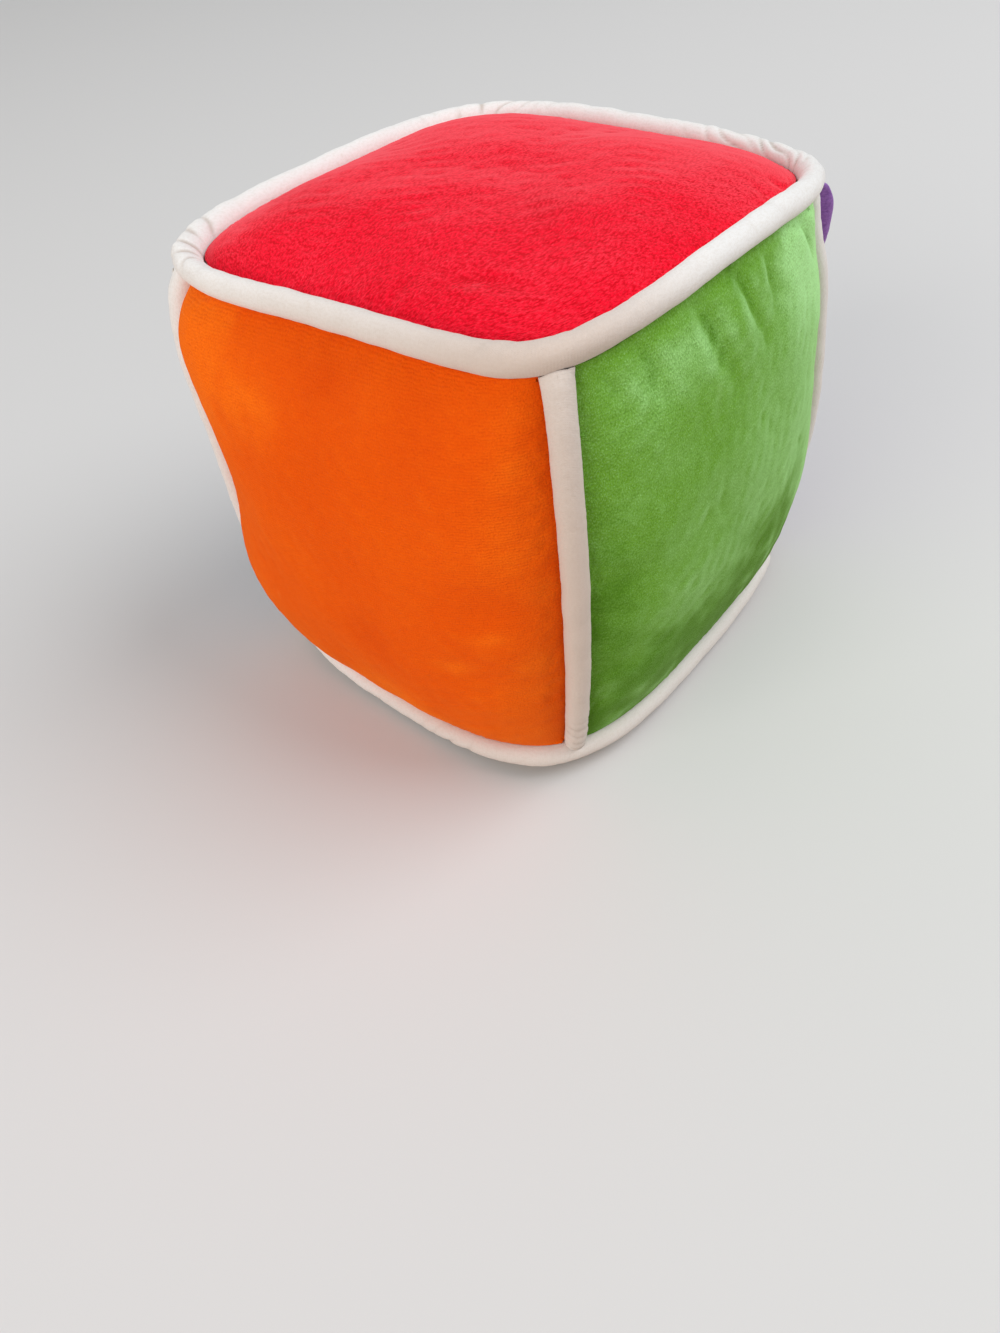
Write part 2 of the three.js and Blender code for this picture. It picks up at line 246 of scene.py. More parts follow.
# %% [markdown]
# ## Helpers for grids and meshes
# Every piece is a grid of points, so one function turns grids into meshes. It also stores a UV map in metres,
# so that a weave keeps its real size on every piece. A second helper gives smooth irregular waves: a sum of
# cosines in fixed random directions is cheap, works on whole arrays, and is the same on each run.


# %% Grids to meshes
def grid_faces(rows, columns, wrap_rows=False, wrap_columns=False):
    """The quads of a grid whose points run row by row: (i, j), (i+1, j), (i+1, j+1), (i, j+1)."""
    i = np.arange(rows if wrap_rows else rows - 1)[:, None]
    j = np.arange(columns if wrap_columns else columns - 1)[None, :]
    i, j = np.broadcast_arrays(i, j)
    next_i, next_j = (i + 1) % rows, (j + 1) % columns
    quads = [i * columns + j, next_i * columns + j, next_i * columns + next_j, i * columns + next_j]
    return np.stack(quads, axis=-1).reshape(-1, 4)


def add_mesh(name, points, faces, uv=None, **values):
    """A smooth-shaded mesh object at the origin. uv gives two numbers, in metres, for each point or each corner,
    and each further array is kept on the mesh as one number for each point."""
    mesh = bpy.data.meshes.new(name)
    corners_of_faces = faces.tolist() if isinstance(faces, np.ndarray) else faces
    mesh.from_pydata(points.reshape(-1, 3).tolist(), [], corners_of_faces)
    mesh.polygons.foreach_set("use_smooth", np.ones(len(mesh.polygons), bool))
    if uv is not None:
        layer = mesh.uv_layers.new(name="cloth")
        corner_points = np.empty(len(mesh.loops), np.int32)
        mesh.loops.foreach_get("vertex_index", corner_points)
        corner_uv = uv if len(uv) == len(mesh.loops) else uv.reshape(-1, 2)[corner_points]
        layer.data.foreach_set("uv", corner_uv.astype(np.float32).ravel())
    for key, numbers in values.items():
        mesh.attributes.new(key, "FLOAT", "POINT").data.foreach_set("value", numbers.astype(np.float32).ravel())
    mesh.update()
    piece = bpy.data.objects.new(name, mesh)
    bpy.context.scene.collection.objects.link(piece)
    return piece


def waves(a, b, length, seed, count=24):
    """Irregular waves of about one length, from about -1 to 1: the mean of cosines in random directions."""
    draw = np.random.default_rng(seed)
    turn = draw.uniform(0, 2 * np.pi, count)
    pace = 2 * np.pi / length * draw.uniform(0.7, 1.4, count)
    phase = draw.uniform(0, 2 * np.pi, count)
    angles = a[..., None] * pace * np.cos(turn) + b[..., None] * pace * np.sin(turn) + phase
    return np.cos(angles).sum(axis=-1) / math.sqrt(count / 2) / 2


def grid_normals(points):
    """The unit cross product of a grid's two central differences, which points out of the cube."""
    return unit(np.cross(np.gradient(points, axis=0), np.gradient(points, axis=1)))


print("quads of a small grid:", grid_faces(2, 3).tolist())


# %% [markdown]
# ## The skins of the six faces
# A face bulges between its seams like a cushion. A subdivided plane with a cloth modifier alone would bulge,
# but not to this cube's shape, so the start shape is a formula: the surface between two seams plus a dome. The
# edge of each face is eased on to the line where the plush turns in beside the piping.

# %% The numbers of the faces
piping_radius = 3.3 * mm
edge_aside = 2.95 * mm  # the face's edge, beside the middle of the cord
edge_inward = 2.3 * mm  # and how far in from it
ease_power = 14
puff_power = 0.25  # puffs fade only close to the seams
inset_share = 1 - edge_aside / half_width
sides = {  # puffs: a place from -1 to 1 across and up, a size each way, how far out in mm, a turn in degrees
    "front": {
        "azimuth": -90, "ends": ("front_left", "front_right"), "crown": front_crown,
        "puffs": (
            (-0.95, 0.85, 0.25, 0.22, 8.0, 0), (-0.95, 0.12, 0.3, 0.4, -5.0, 0), (-0.95, -0.5, 0.3, 0.35, 2.4, 0),
            (0.2, -0.75, 0.7, 0.3, -1.0, 0),
        ),
    },
    "right": {
        "azimuth": 0, "ends": ("front_right", "back_right"), "crown": side_crown,
        "puffs": ((0.95, 0.2, 0.3, 0.6, -3.8, 0),),
    },
    "back": {
        "azimuth": 90, "ends": ("back_right", "back_left"), "crown": front_crown,
        "puffs": ((-1.0, 0.74, 0.16, 0.24, 12.0, -65), (0.7, -0.2, 0.4, 0.4, -1.5, 0)),
    },
    "left": {
        "azimuth": 180, "ends": ("back_left", "front_left"), "crown": side_crown,
        "puffs": ((-0.5, -0.4, 0.4, 0.4, 1.5, 0), (0.6, 0.5, 0.4, 0.4, -1.0, 0)),
    },
}
print("sides:", list(sides))


# %% Skins as functions
def side_azimuth(side, u, level):
    """Azimuth along a side's top or bottom seam, from one of its upright seams (u -1) to the other (u 1)."""
    middle = math.radians(sides[side]["azimuth"])
    low, high = [
        middle + turn * math.pi / 4 + math.radians(seam_turn(name, level))
        for turn, name in zip((-1, 1), sides[side]["ends"])
    ]
    return low + (high - low) * (1 + np.asarray(u, float)) / 2


def side_skin(side, u, v):
    """Straight lines from the bottom seam to the top one, plus a mix of both uprights' bulges, plus a dome and
    the side's own puffs: hills that fade at its seams."""
    low, high = [loop_point(side_azimuth(side, u, level), level) for level in (BOTTOM, TOP)]
    bulges = [upright_bulge(name, v) for name in sides[side]["ends"]]
    azimuth = sides[side]["azimuth"]
    crown = sides[side]["crown"] * dome(u, face_power) * dome(v, face_power)
    out = crown[..., None] * heading(math.radians(azimuth))
    for *place, amount, turn in sides[side]["puffs"]:
        puff = hill(u, v, *place) * dome(u, puff_power) * dome(v, puff_power)
        out = out + (amount * mm * puff)[..., None] * heading(math.radians(azimuth + turn))
    return mix(low, high, (1 + v) / 2) + mix(bulges[0], bulges[1], (1 + u) / 2) + out


def cap_skin(level, azimuth, share):
    """The top: straight lines from the middle to the seam, plus a dome. The bottom sags and the floor cuts it."""
    rim = loop_point(azimuth, level)
    flat = top_seam_height if level == TOP else bottom_seam_height
    swell = top_crown if level == TOP else -bottom_sag
    point = rim * share[..., None]
    point[..., 2] = np.maximum(flat + (rim[..., 2] - flat) * share**square_power + swell * dome(share, face_power), 0)
    return point


print("middle of the top skin:", cap_skin(TOP, np.zeros(1), np.zeros(1)).round(4))


# %% Places beside a seam
def in_seam(place, aside, outwards):
    """The middle of the cord plus a distance across the seam and one out of it."""
    middle, outward, across = place
    return middle + across * np.asarray(aside)[..., None] + outward * np.asarray(outwards)[..., None]


def facing(place, sign):
    """The same place with across pointing to the face on one of its sides."""
    return place[0], place[1], place[2] * sign


def fade(share):
    """0 up to the middle, then share to the ease power: 1 at the edge."""
    return np.clip(share, 0, None) ** ease_power


print("fade at 0.8, 0.9 and 1:", fade(np.array([0.8, 0.9, 1.0])).round(3))


# %% The start shape of a side
def side_edges(side, w):
    """The seam places along the four edges of a side, each with w from -1 to 1, as the face sees them."""
    start, end = sides[side]["ends"]
    inner = w * inset_share
    return {
        "bottom": facing(loop_frame(side_azimuth(side, inner, BOTTOM), BOTTOM), -1),
        "right": facing(upright_frame(end, inner), -1),
        "top": facing(loop_frame(side_azimuth(side, inner, TOP), TOP), 1),
        "left": facing(upright_frame(start, inner), 1),
    }


def side_panel(side, w):
    """Skin plus a Coons blend of the four edges' corrections: the sum of the edges less the shared corners."""
    u, v = np.meshgrid(w, w, indexing="ij")
    points = side_skin(side, u * inset_share, v * inset_share)
    edges = {name: in_seam(place, edge_aside, -edge_inward) for name, place in side_edges(side, w).items()}
    shift = {
        "bottom": edges["bottom"] - points[:, 0],
        "top": edges["top"] - points[:, -1],
        "left": edges["left"] - points[0],
        "right": edges["right"] - points[-1],
    }
    joins = {
        ("bottom", 0, "left", 0): fade(-u) * fade(-v),
        ("bottom", -1, "right", 0): fade(u) * fade(-v),
        ("top", 0, "left", -1): fade(-u) * fade(v),
        ("top", -1, "right", -1): fade(u) * fade(v),
    }
    total = np.zeros_like(points)
    for (first, i, second, j), weight in joins.items():
        shared = (shift[first][i] + shift[second][j]) / 2
        for name, at in ((first, i), (second, j)):
            near = fade(w if at else -w)[:, None]
            shift[name] = shift[name] + (shared - shift[name][at]) * near**2
        total -= weight[..., None] * shared
    total += fade(-v)[..., None] * shift["bottom"][:, None] + fade(v)[..., None] * shift["top"][:, None]
    total += fade(-u)[..., None] * shift["left"][None] + fade(u)[..., None] * shift["right"][None]
    return points + total


small_panel = np.array([-1.0, 0.0, 1.0])
print("middle of the green side:", side_panel("right", small_panel)[1, 1].round(4))


# %% The start shape of the top and the bottom
def disc(u, v):
    """A square grid drawn on to a disc: x = u sqrt(1 - v^2 / 2), y = v sqrt(1 - u^2 / 2), as azimuth and share."""
    x, y = u * np.sqrt(1 - v**2 / 2), v * np.sqrt(1 - u**2 / 2)
    return np.arctan2(y, x), np.clip(np.hypot(x, y), 0, 1)


def cap_panel(level, w):
    """The skin of the top or bottom, eased at its rim on to the line where the plush turns in."""
    u, v = np.meshgrid(w, w, indexing="ij")
    azimuth, share = disc(u * level, v)
    rim = in_seam(facing(loop_frame(azimuth, level), -level), edge_aside, -edge_inward)
    shift = rim - cap_skin(level, azimuth, np.full_like(share, inset_share))
    return cap_skin(level, azimuth, share * inset_share) + shift * (share**ease_power)[..., None]


print("corner and middle of the top:", cap_panel(TOP, small_panel)[[0, 1], [0, 1]].round(4))


# %% The seam places round a panel
corner_blends = 3  # rounds in which the directions at a side's corners are blended


def ring_of(grid):
    """The outline of a grid, once round: along the bottom, up the right, back along the top, down the left."""
    return np.concatenate([grid[:-1, 0], grid[-1, :-1], grid[:0:-1, -1], grid[0, :0:-1]])


def side_ring(side, w):
    """The seam places round a side. At the corners the two seams' directions are blended over a few points."""
    edges = side_edges(side, w)
    ring = []
    for part in range(3):
        bottom, right, top, left = [edges[name][part] for name in ("bottom", "right", "top", "left")]
        ring.append(np.concatenate([bottom[:-1], right[:-1], top[:0:-1], left[:0:-1]]))
        for _ in range(corner_blends):
            ring[part] = (np.roll(ring[part], 1, axis=0) + 2 * ring[part] + np.roll(ring[part], -1, axis=0)) / 4
    return ring[0], unit(ring[1]), unit(ring[2])


def cap_ring(level, w):
    """The seam places round the top or bottom, in the order of the grid's outline."""
    u, v = np.meshgrid(w, w, indexing="ij")
    azimuth, _ = disc(u * level, v)
    return facing(loop_frame(ring_of(azimuth), level), -level)


print("places round a small panel:", len(cap_ring(TOP, small_panel)[0]))


# %% [markdown]
# ## Stuffing the faces with a cloth simulation
# Real plush is cut flat, sewn with a little spare length and pushed out by the filling, so it puckers along
# the seams. A cloth simulation does the same: the edge is pinned, pressure pushes from inside, and the springs
# near the seams are a few per cent longer than the start shape. The panel is simulated ten times larger,
# because the solver's stiffness suits clothes, and the result is read back as an array with its moves capped.

# %% Helpers for the panels' grids
crowding = 0.9


def crowded(count):
    """Places from -1 to 1 that crowd towards both ends: a sine over most of a quarter turn each way."""
    reach = crowding * np.pi / 2
    return np.sin(np.linspace(-reach, reach, count)) / np.sin(reach)


def averaged(grid, rounds):
    """Each round takes half of every point and an eighth of each of its four neighbours."""
    for _ in range(rounds):
        wide = np.pad(grid, ((1, 1), (1, 1), (0, 0)), mode="edge")
        grid = grid / 2 + (wide[:-2, 1:-1] + wide[2:, 1:-1] + wide[1:-1, :-2] + wide[1:-1, 2:]) / 8
    return grid


def finer(grid):
    """Twice as many points each way: Catmull-Rom weights (-1, 9, 9, -1) / 16 halfway between the old ones."""
    for axis in (0, 1):
        grid = np.moveaxis(grid, axis, 0)
        padded = np.concatenate([2 * grid[:1] - grid[1:2], grid, 2 * grid[-1:] - grid[-2:-1]])
        between = (9 * (grid[:-1] + grid[1:]) - padded[:-3] - padded[3:]) / 16
        made = np.empty((2 * len(grid) - 1, *grid.shape[1:]))
        made[::2], made[1::2] = grid, between
        grid = np.moveaxis(made, 0, axis)
    return grid


print("five crowded places:", crowded(5).round(3), "finer than 3 by 3:", finer(np.zeros((3, 3, 3))).shape[:2])

# %% The simulation
panel_count = 81
simulation_scale = 10
simulation_frames = 20
filling_pressure = 3
spare_steps = 16  # a vertex group takes one weight at a time, so the spare length is rounded to so many steps
move_cap = 3.2 * mm


def stuffed(name, start, spare, spare_share, calming):
    """Simulates a pinned panel under pressure. spare, from 0 to 1 at each point, says where the cloth is longer
    than the start shape, by up to spare_share. Returns start + move, with each move capped and the moves averaged
    for some rounds, because stuffed plush is too thick for the thinnest creases of the simulation."""
    count = len(start)
    work = add_mesh(name + "_work", start * simulation_scale, grid_faces(count, count))
    sewn = work.vertex_groups.new(name="sewn")
    sewn.add(ring_of(np.arange(count * count).reshape(count, count)).tolist(), 1.0, "REPLACE")
    longer = work.vertex_groups.new(name="longer")
    level = np.rint(np.clip(spare, 0, 1) * spare_steps).astype(int).ravel()
    for k in range(spare_steps + 1):
        longer.add(np.flatnonzero(level == k).tolist(), k / spare_steps, "REPLACE")
    cloth = work.modifiers.new("cloth", "CLOTH")
    settings = cloth.settings
    settings.quality = 6
    settings.mass = 0.1
    settings.tension_stiffness = settings.compression_stiffness = 15
    settings.shear_stiffness = 5
    settings.bending_stiffness = 0.4
    settings.vertex_group_mass = "sewn"
    settings.vertex_group_shrink = "longer"
    settings.shrink_min = 0
    settings.shrink_max = -spare_share
    settings.use_pressure = True
    settings.uniform_pressure_force = filling_pressure
    settings.effector_weights.gravity = 0
    cloth.collision_settings.use_collision = False
    cloth.point_cache.frame_end = simulation_frames
    for number in range(1, simulation_frames + 1):
        bpy.context.scene.frame_set(number)
    evaluated = work.evaluated_get(bpy.context.evaluated_depsgraph_get())
    result = np.empty(count * count * 3, np.float32)
    evaluated.to_mesh().vertices.foreach_get("co", result)
    evaluated.to_mesh_clear()
    bpy.data.objects.remove(work)
    bpy.context.scene.frame_set(1)
    move = result.reshape(start.shape) / simulation_scale - start
    length = np.linalg.norm(move, axis=-1, keepdims=True)
    print(name, "largest move in mm:", round(float(length.max()) / mm, 2))
    return start + averaged(move * np.minimum(1, move_cap / np.maximum(length, 1e-9)), calming)


# %% Keeping clear of the piping
loop_places, upright_places = 700, 180
test_blocks = 20  # the points are tested in parts, to save memory


def seam_lines(uprights):
    """Points about 0.7 mm apart along the middle of both closed cords, and of the upright ones if asked."""
    azimuth = np.linspace(0, 2 * np.pi, loop_places, endpoint=False)
    lines = [settled(loop_point(azimuth, level)) for level in (TOP, BOTTOM)]
    if uprights:
        lines += [settled(upright_point(name, np.linspace(-1, 1, upright_places))) for name in corners]
    return np.concatenate(lines)


def clear_of_piping(points, near, clearance, uprights):
    """Points nearer to a cord's middle than the clearance are moved straight away from it, to that distance.
    near marks the points that are tested, which is done in blocks to spare memory."""
    lines = seam_lines(uprights)
    result = points.copy()
    for block in np.array_split(np.flatnonzero(near), test_blocks):
        apart = points[block, None] - lines[None]
        squares = np.sum(apart**2, axis=-1)
        nearest = (np.arange(len(block)), np.argmin(squares, axis=1))
        distance = np.sqrt(squares[nearest])
        away = apart[nearest] / np.maximum(distance, 1e-9)[:, None]
        result[block] += away * np.clip(clearance - distance, 0, None)[:, None]
    return result


print("points along all cords:", len(seam_lines(uprights=True)))


# %% [markdown]
# ## The six faces
# Each face gets its own spare length: the green one puckers most, under its top seam, and the orange one is
# nearly smooth. After the simulation the grid is made finer, gets the gentle lumps of the filling, and its
# edge is carried on round the fold and down beside the seam. Solidify then gives the plush its thickness.

# %% Spare cloth and small folds, by face
coarse = crowded(panel_count)
fine = crowded(2 * panel_count - 1)
grid_u, grid_v = np.meshgrid(coarse, coarse, indexing="ij")
first_fold_length = 15 * mm


def along_edge(distance_share, width):
    """1 at an edge and falling smoothly to 0 at a share of the half width away from it."""
    return np.clip(1 - distance_share / width, 0, 1) ** 2 * (1 + 2 * np.clip(distance_share / width, 0, 1))


def seam_distance(u, v):
    """How far a place is from the nearest edge of its panel, as a share of half the panel's width."""
    return np.minimum.reduce([1 - u, 1 + u, 1 - v, 1 + v])


all_seams = along_edge(seam_distance(grid_u, grid_v), 0.3)
under_top_seam = 0.9 * along_edge(1 - grid_v, 0.6) * hill(grid_u, grid_v, -0.35, 1, 0.6, 2)
by_back_corner = hill(grid_u, grid_v, 0.85, 0.85, 0.2, 0.3)
faces = {  # side, spare cloth and its largest share, height of the first folds in mm, rounds of averaging
    "orange_front_face": ("front", 0.3 * all_seams, 0.010, 0.05, 20),
    "green_right_face": ("right", 0.3 * all_seams + under_top_seam + by_back_corner, 0.035, 0.2, 4),
    "purple_back_face": ("back", 0.7 * all_seams, 0.03, 0.3, 3),
    "blue_left_face": ("left", 0.7 * all_seams, 0.03, 0.3, 3),
    "red_top_face": ("top", 0.4 * all_seams, 0.008, 0.04, 30),
    "yellow_bottom_face": ("bottom", 0.6 * all_seams, 0.02, 0.2, 6),
}


def first_folds(seed, amount):
    """Shallow folds square to each seam: waves along it that fade away from it, to seed the puckers."""
    total = np.zeros_like(grid_u)
    for along, aside, number in ((grid_u, grid_v, seed), (grid_v, grid_u, seed + 100)):
        ripples = waves(along * half_width, aside * 0.1 * half_width, first_fold_length, number)
        from_seam = 1 - np.abs(aside)
        total += ripples * (along_edge(from_seam, 0.5) * np.clip(6 * from_seam, 0, 1))
    return amount * mm * total


print("largest share of spare length:", {name: facts[2] for name, facts in faces.items()})


# %% [markdown]
# ## The puckers that show
# The simulation gathers the cloth where it likes, but the strongest folds of this cube are known. Each is a
# short line on the flat panel: a narrow valley between two soft pillows, which dies out away from the seam. They
# could be sculpted, but as a list they stay easy to read and to move. The height against the averaged surface is
# kept on the mesh, and the finish uses it to paint shade into the valleys and light on the ridges. A map of lighter
# and darker patches is kept too: partly the lie of the pile, and partly painted light and painted shade.

# %% Folds as lines on the flat panels
fold_lines = {  # from (across, up), to (across, up), width in mm, depth in mm
    "green_right_face": [
        ((-0.92, 1.06), (-0.82, 0.66), 2.4, 0.60),
        ((-0.76, 1.06), (-0.60, 0.50), 3.0, 1.25),
        ((-0.46, 1.06), (-0.16, 0.48), 3.0, 1.35),
        ((-0.14, 1.06), (0.10, 0.58), 2.6, 1.20),
        ((0.16, 1.06), (0.22, 0.62), 2.4, 0.85),
        ((0.50, 1.06), (0.80, 0.68), 2.6, 1.50),
        ((0.78, 1.06), (0.82, 0.76), 1.8, 0.70),
        ((0.40, -1.06), (0.30, -0.70), 1.6, 0.40),
        ((-0.30, -1.06), (-0.34, -0.74), 1.6, 0.30),
    ],
    "orange_front_face": [
        ((-0.42, 1.06), (-0.40, 0.84), 1.8, 0.35),
        ((-0.05, 1.06), (-0.10, 0.86), 1.8, 0.25),
        ((0.45, 1.06), (0.40, 0.86), 1.8, 0.25),
        ((-0.55, -1.06), (-0.50, -0.70), 1.8, 0.30),
    ],
    "red_top_face": [
        ((0.28, -0.74), (0.92, -0.58), 3.0, 0.90),
        ((0.28, -1.06), (0.22, -0.66), 2.2, 0.50),
        ((0.02, -1.06), (0.02, -0.80), 1.8, 0.35),
        ((-0.30, -1.06), (-0.26, -0.78), 2.0, 0.40),
        ((1.06, 0.50), (0.82, 0.44), 1.6, 0.60),
        ((1.06, 0.66), (0.82, 0.58), 1.6, 0.50),
        ((-0.60, 1.06), (-0.55, 0.78), 2.0, 0.40),
        ((-1.06, -0.20), (-0.80, -0.18), 2.0, 0.40),
    ],
    "purple_back_face": [
        ((-0.60, 1.06), (-0.52, 0.60), 1.6, 0.90),
        ((-0.26, 1.06), (-0.22, 0.58), 1.5, 0.80),
        ((0.20, 1.06), (0.30, 0.62), 1.6, 0.90),
        ((0.66, 1.06), (0.58, 0.66), 1.5, 0.70),
        ((0.10, -1.06), (0.04, -0.72), 1.6, 0.50),
    ],
    "blue_left_face": [
        ((-0.60, 1.06), (-0.50, 0.60), 1.6, 0.90),
        ((-0.10, 1.06), (-0.16, 0.58), 1.5, 0.80),
        ((0.36, 1.06), (0.44, 0.62), 1.6, 0.90),
        ((0.78, 1.06), (0.66, 0.70), 1.5, 0.60),
        ((-0.40, -1.06), (-0.34, -0.70), 1.6, 0.50),
    ],
    "yellow_bottom_face": [((-0.50, 1.06), (-0.46, 0.80), 1.8, 0.40), ((0.40, -1.06), (0.42, -0.80), 1.8, 0.40)],
}
swell_share, swell_width = 0.55, 3  # the low swell that a fold's valley lies in, against the valley
print("folds:", {name: len(lines) for name, lines in fold_lines.items()})

# %% Overhangs, and patches of brushed pile, painted light and painted shade
overhangs = {  # where a face bulges over its piping: a place, a size each way, mm, and the azimuth it goes to
    "purple_back_face": ((-0.93, 0.93, 0.09, 0.36, 8.6, 25),),
}
# Most of these patches are painted light and painted shade: lit upper and far parts, darker lower parts, and shaded
# bands under the top seams. The rest stand for brushed pile.
brushed_spots = {  # a place across and up, a size each way, and how much lighter
    "green_right_face": [
        (-0.75, 0.84, 0.26, 0.20, 0.62), (0.62, 0.84, 0.42, 0.30, 1.35), (0.90, 0.10, 0.25, 0.70, 0.65),
        (-0.25, 0.96, 0.50, 0.08, -0.45),
        (-0.95, -0.10, 0.15, 0.80, -0.50), (0.15, -0.84, 1.20, 0.55, -1.05),
    ],
    "orange_front_face": [
        (-0.95, 0.80, 0.45, 0.45, 1.50), (-0.40, 0.66, 0.22, 0.14, 0.35), (0.10, 0.92, 0.50, 0.14, -0.45),
        (0.97, 0.10, 0.18, 1.00, 0.50), (0.10, -0.90, 0.80, 0.25, 0.85), (0.78, -0.12, 0.07, 0.05, 0.70),
        (0.62, -0.30, 0.10, 0.05, 0.50),
    ],
    "red_top_face": [
        (0.75, 0.60, 0.45, 0.50, 0.45), (-0.10, 0.80, 0.80, 0.35, 0.40), (-0.80, -0.70, 0.40, 0.30, -0.35),
        (0.50, -0.85, 0.50, 0.25, -0.30), (0.80, -0.86, 0.15, 0.10, 0.30),
    ],
    "purple_back_face": [(-0.60, 0.50, 0.40, 0.40, 0.40), (0.40, -0.20, 0.40, 0.50, -0.30)],
    "blue_left_face": [(0.50, 0.40, 0.40, 0.30, 0.40), (-0.40, -0.30, 0.50, 0.40, -0.30)],
    "yellow_bottom_face": [(0.20, 0.30, 0.50, 0.40, 0.30), (-0.50, -0.40, 0.40, 0.40, -0.30)],
}
print("brushed patches:", {name: len(spots) for name, spots in brushed_spots.items()})


# %% The height of the folds
def smooth(value, low, high):
    """0 below low, 1 above high, and 3 x^2 - 2 x^3 in between."""
    x = np.clip((value - low) / (high - low), 0, 1)
    return x**2 * (3 - 2 * x)


def folded(name, u, v):
    """The sum of a face's folds. Across a fold, a narrow valley in a wide low swell: share * exp(-(q / 3)^2) -
    exp(-q^2), with q the distance over its width. Along it, full strength at first and then a smooth end."""
    total = np.zeros_like(u)
    for start, end, width, depth in fold_lines[name]:
        way = np.subtract(end, start)
        span = float(np.hypot(*way))
        along = ((u - start[0]) * way[0] + (v - start[1]) * way[1]) / span**2
        aside = ((u - start[0]) * way[1] - (v - start[1]) * way[0]) / span
        q = aside * half_width / (width * mm * (1 + 0.5 * np.clip(along, 0, 1)))
        strength = 1 - smooth(along, 0.35, 1)
        if max(np.abs(start)) < 1:
            strength = strength * smooth(along, 0, 0.3)
        total += depth * mm * strength * (swell_share * np.exp(-((q / swell_width) ** 2)) - np.exp(-(q**2)))
    return total


deepest = min(folded("green_right_face", grid_u, grid_v).ravel())
print("deepest green fold in mm:", round(float(deepest) / mm, 2))

# %% The relief of a face
relief_waves = {  # how strong, how long in mm, and what is added to the face's seed
    "lumps": (0.35, 30, 200), "small lumps": (0.08, 7, 300), "tufts": (0.3, 3.6, 500),
    "patches": (0.3, 12, 600), "lie of the pile": (0.25, 45, 700),
}
tuft_reach = 0.05  # the tufts that the seam pulls up die out over this share of the half width
hollow_rounds = 20
fine_u, fine_v = np.meshgrid(fine, fine, indexing="ij")
by_seam = seam_distance(fine_u, fine_v)
from_corner = np.hypot(1 - np.abs(fine_u), 1 - np.abs(fine_v))


def cloth_waves(kind, seed):
    """Waves over a fine panel, in real lengths."""
    amount, length, number = relief_waves[kind]
    return amount * waves(fine_u * half_width, fine_v * half_width, length * mm, seed + number)


def relief(name, points, seed):
    """Along the normals: the filling's lumps, the tufts beside the seams, and the folds. Then the overhangs.
    Returns the points, how deep each lies in a hollow (its averaged surface less itself, which the finish uses to
    paint shade and light), and the lie map: which way its pile is brushed, plus patches of painted light and
    painted shade."""
    lumps = (cloth_waves("lumps", seed) + cloth_waves("small lumps", seed)) * np.clip(5 * by_seam, 0, 1)
    tufts = cloth_waves("tufts", seed) * np.exp(-by_seam / tuft_reach)
    tufts = tufts * smooth(by_seam, 0, 0.03) * smooth(from_corner, 0.06, 0.3)
    folds = folded(name, fine_u, fine_v) * smooth(by_seam, 0, 0.08)
    points = points + grid_normals(points) * ((lumps + tufts) * mm + folds)[..., None]
    for *place, amount, azimuth in overhangs.get(name, ()):
        out = hill(fine_u, fine_v, *place) * smooth(by_seam, 0, 0.03)
        points = points + (amount * mm * out)[..., None] * heading(math.radians(azimuth))
    # How deep each point lies in a hollow: the finishes use this to paint shade in the valleys and light on the ridges.
    deep = np.sum((averaged(points, hollow_rounds) - points) * grid_normals(points), axis=-1) / mm
    # The lie map: the random lie of the pile, plus the listed patches of painted light and painted shade.
    pile_lie_and_painted_light = cloth_waves("lie of the pile", seed)
    patchy = 1 + cloth_waves("patches", seed)
    for *place, amount in brushed_spots[name]:
        pile_lie_and_painted_light = pile_lie_and_painted_light + amount * patchy * hill(fine_u, fine_v, *place)
    return points, deep * smooth(by_seam, 0.02, 0.12), pile_lie_and_painted_light


print("points of a finer panel:", fine_u.size)

# %% The edge of a face, and the rows that turn in beside the seam
cap_levels = {"top": TOP, "bottom": BOTTOM}
stitch_depth, stitch_length = 0.25 * mm, 3.4 * mm
stitch_end = 4 * mm  # the waves of the stitches die out this far from where the ring starts
fold_rows = np.array([[2.4, 3.0], [1.8, 3.8], [1.35, 4.7], [1.1, 5.9], [1.05, 9.4]]) * mm  # aside, inward
fold_uv = (0.02, 0.035, 0.05, 0.07, 0.12)  # how far past the edge each row lies in the UV map
corner_turn = 1 * mm  # how far the plush turns in at a side's corners, where it is clipped
corner_pace = 0.8 * mm  # and how fast that grows from one station to the next


def edge_rows(side, seed):
    """The face's edge, waved by its stitches, and the rows that follow it round the fold and down beside the
    seam. The last row of a side is less deep at the corners."""
    ring = cap_ring(cap_levels[side], fine) if side in cap_levels else side_ring(side, fine)
    length = np.cumsum(np.linalg.norm(np.diff(ring[0], axis=0, prepend=ring[0][-1:]), axis=1))
    ends = np.clip(np.minimum(length, length[-1] - length) / stitch_end, 0, 1)
    stitch = stitch_depth * waves(length, np.zeros(1), stitch_length, seed + 400) * ends
    depth = fold_rows[-1, 1] - fold_rows[-2, 1]
    if side not in cap_levels:
        corner_stations = (len(fine) - 1) * np.arange(5)
        stations_away = np.min(np.abs(np.arange(len(length))[:, None] - corner_stations), axis=1)
        depth = np.clip(stations_away * corner_pace + corner_turn, 0, depth)
    inward = [*fold_rows[:-1, 1], fold_rows[-2, 1] + depth]
    edge = in_seam(ring, edge_aside + stitch, -edge_inward)
    rows = [in_seam(ring, aside, -deep) for aside, deep in zip(fold_rows[:, 0], inward)]
    return [settled(row) for row in (edge, *rows)]


def row_faces(outline, first):
    """The quads between a grid's outline and the rows round it, whose points are numbered from first."""
    rows = first + np.arange(len(fold_rows) * len(outline)).reshape(len(fold_rows), -1)
    ring = np.concatenate([outline[None], rows])
    turned = np.roll(ring, -1, axis=1)
    return np.stack([ring[1:], turned[1:], turned[:-1], ring[:-1]], axis=-1).reshape(-1, 4)


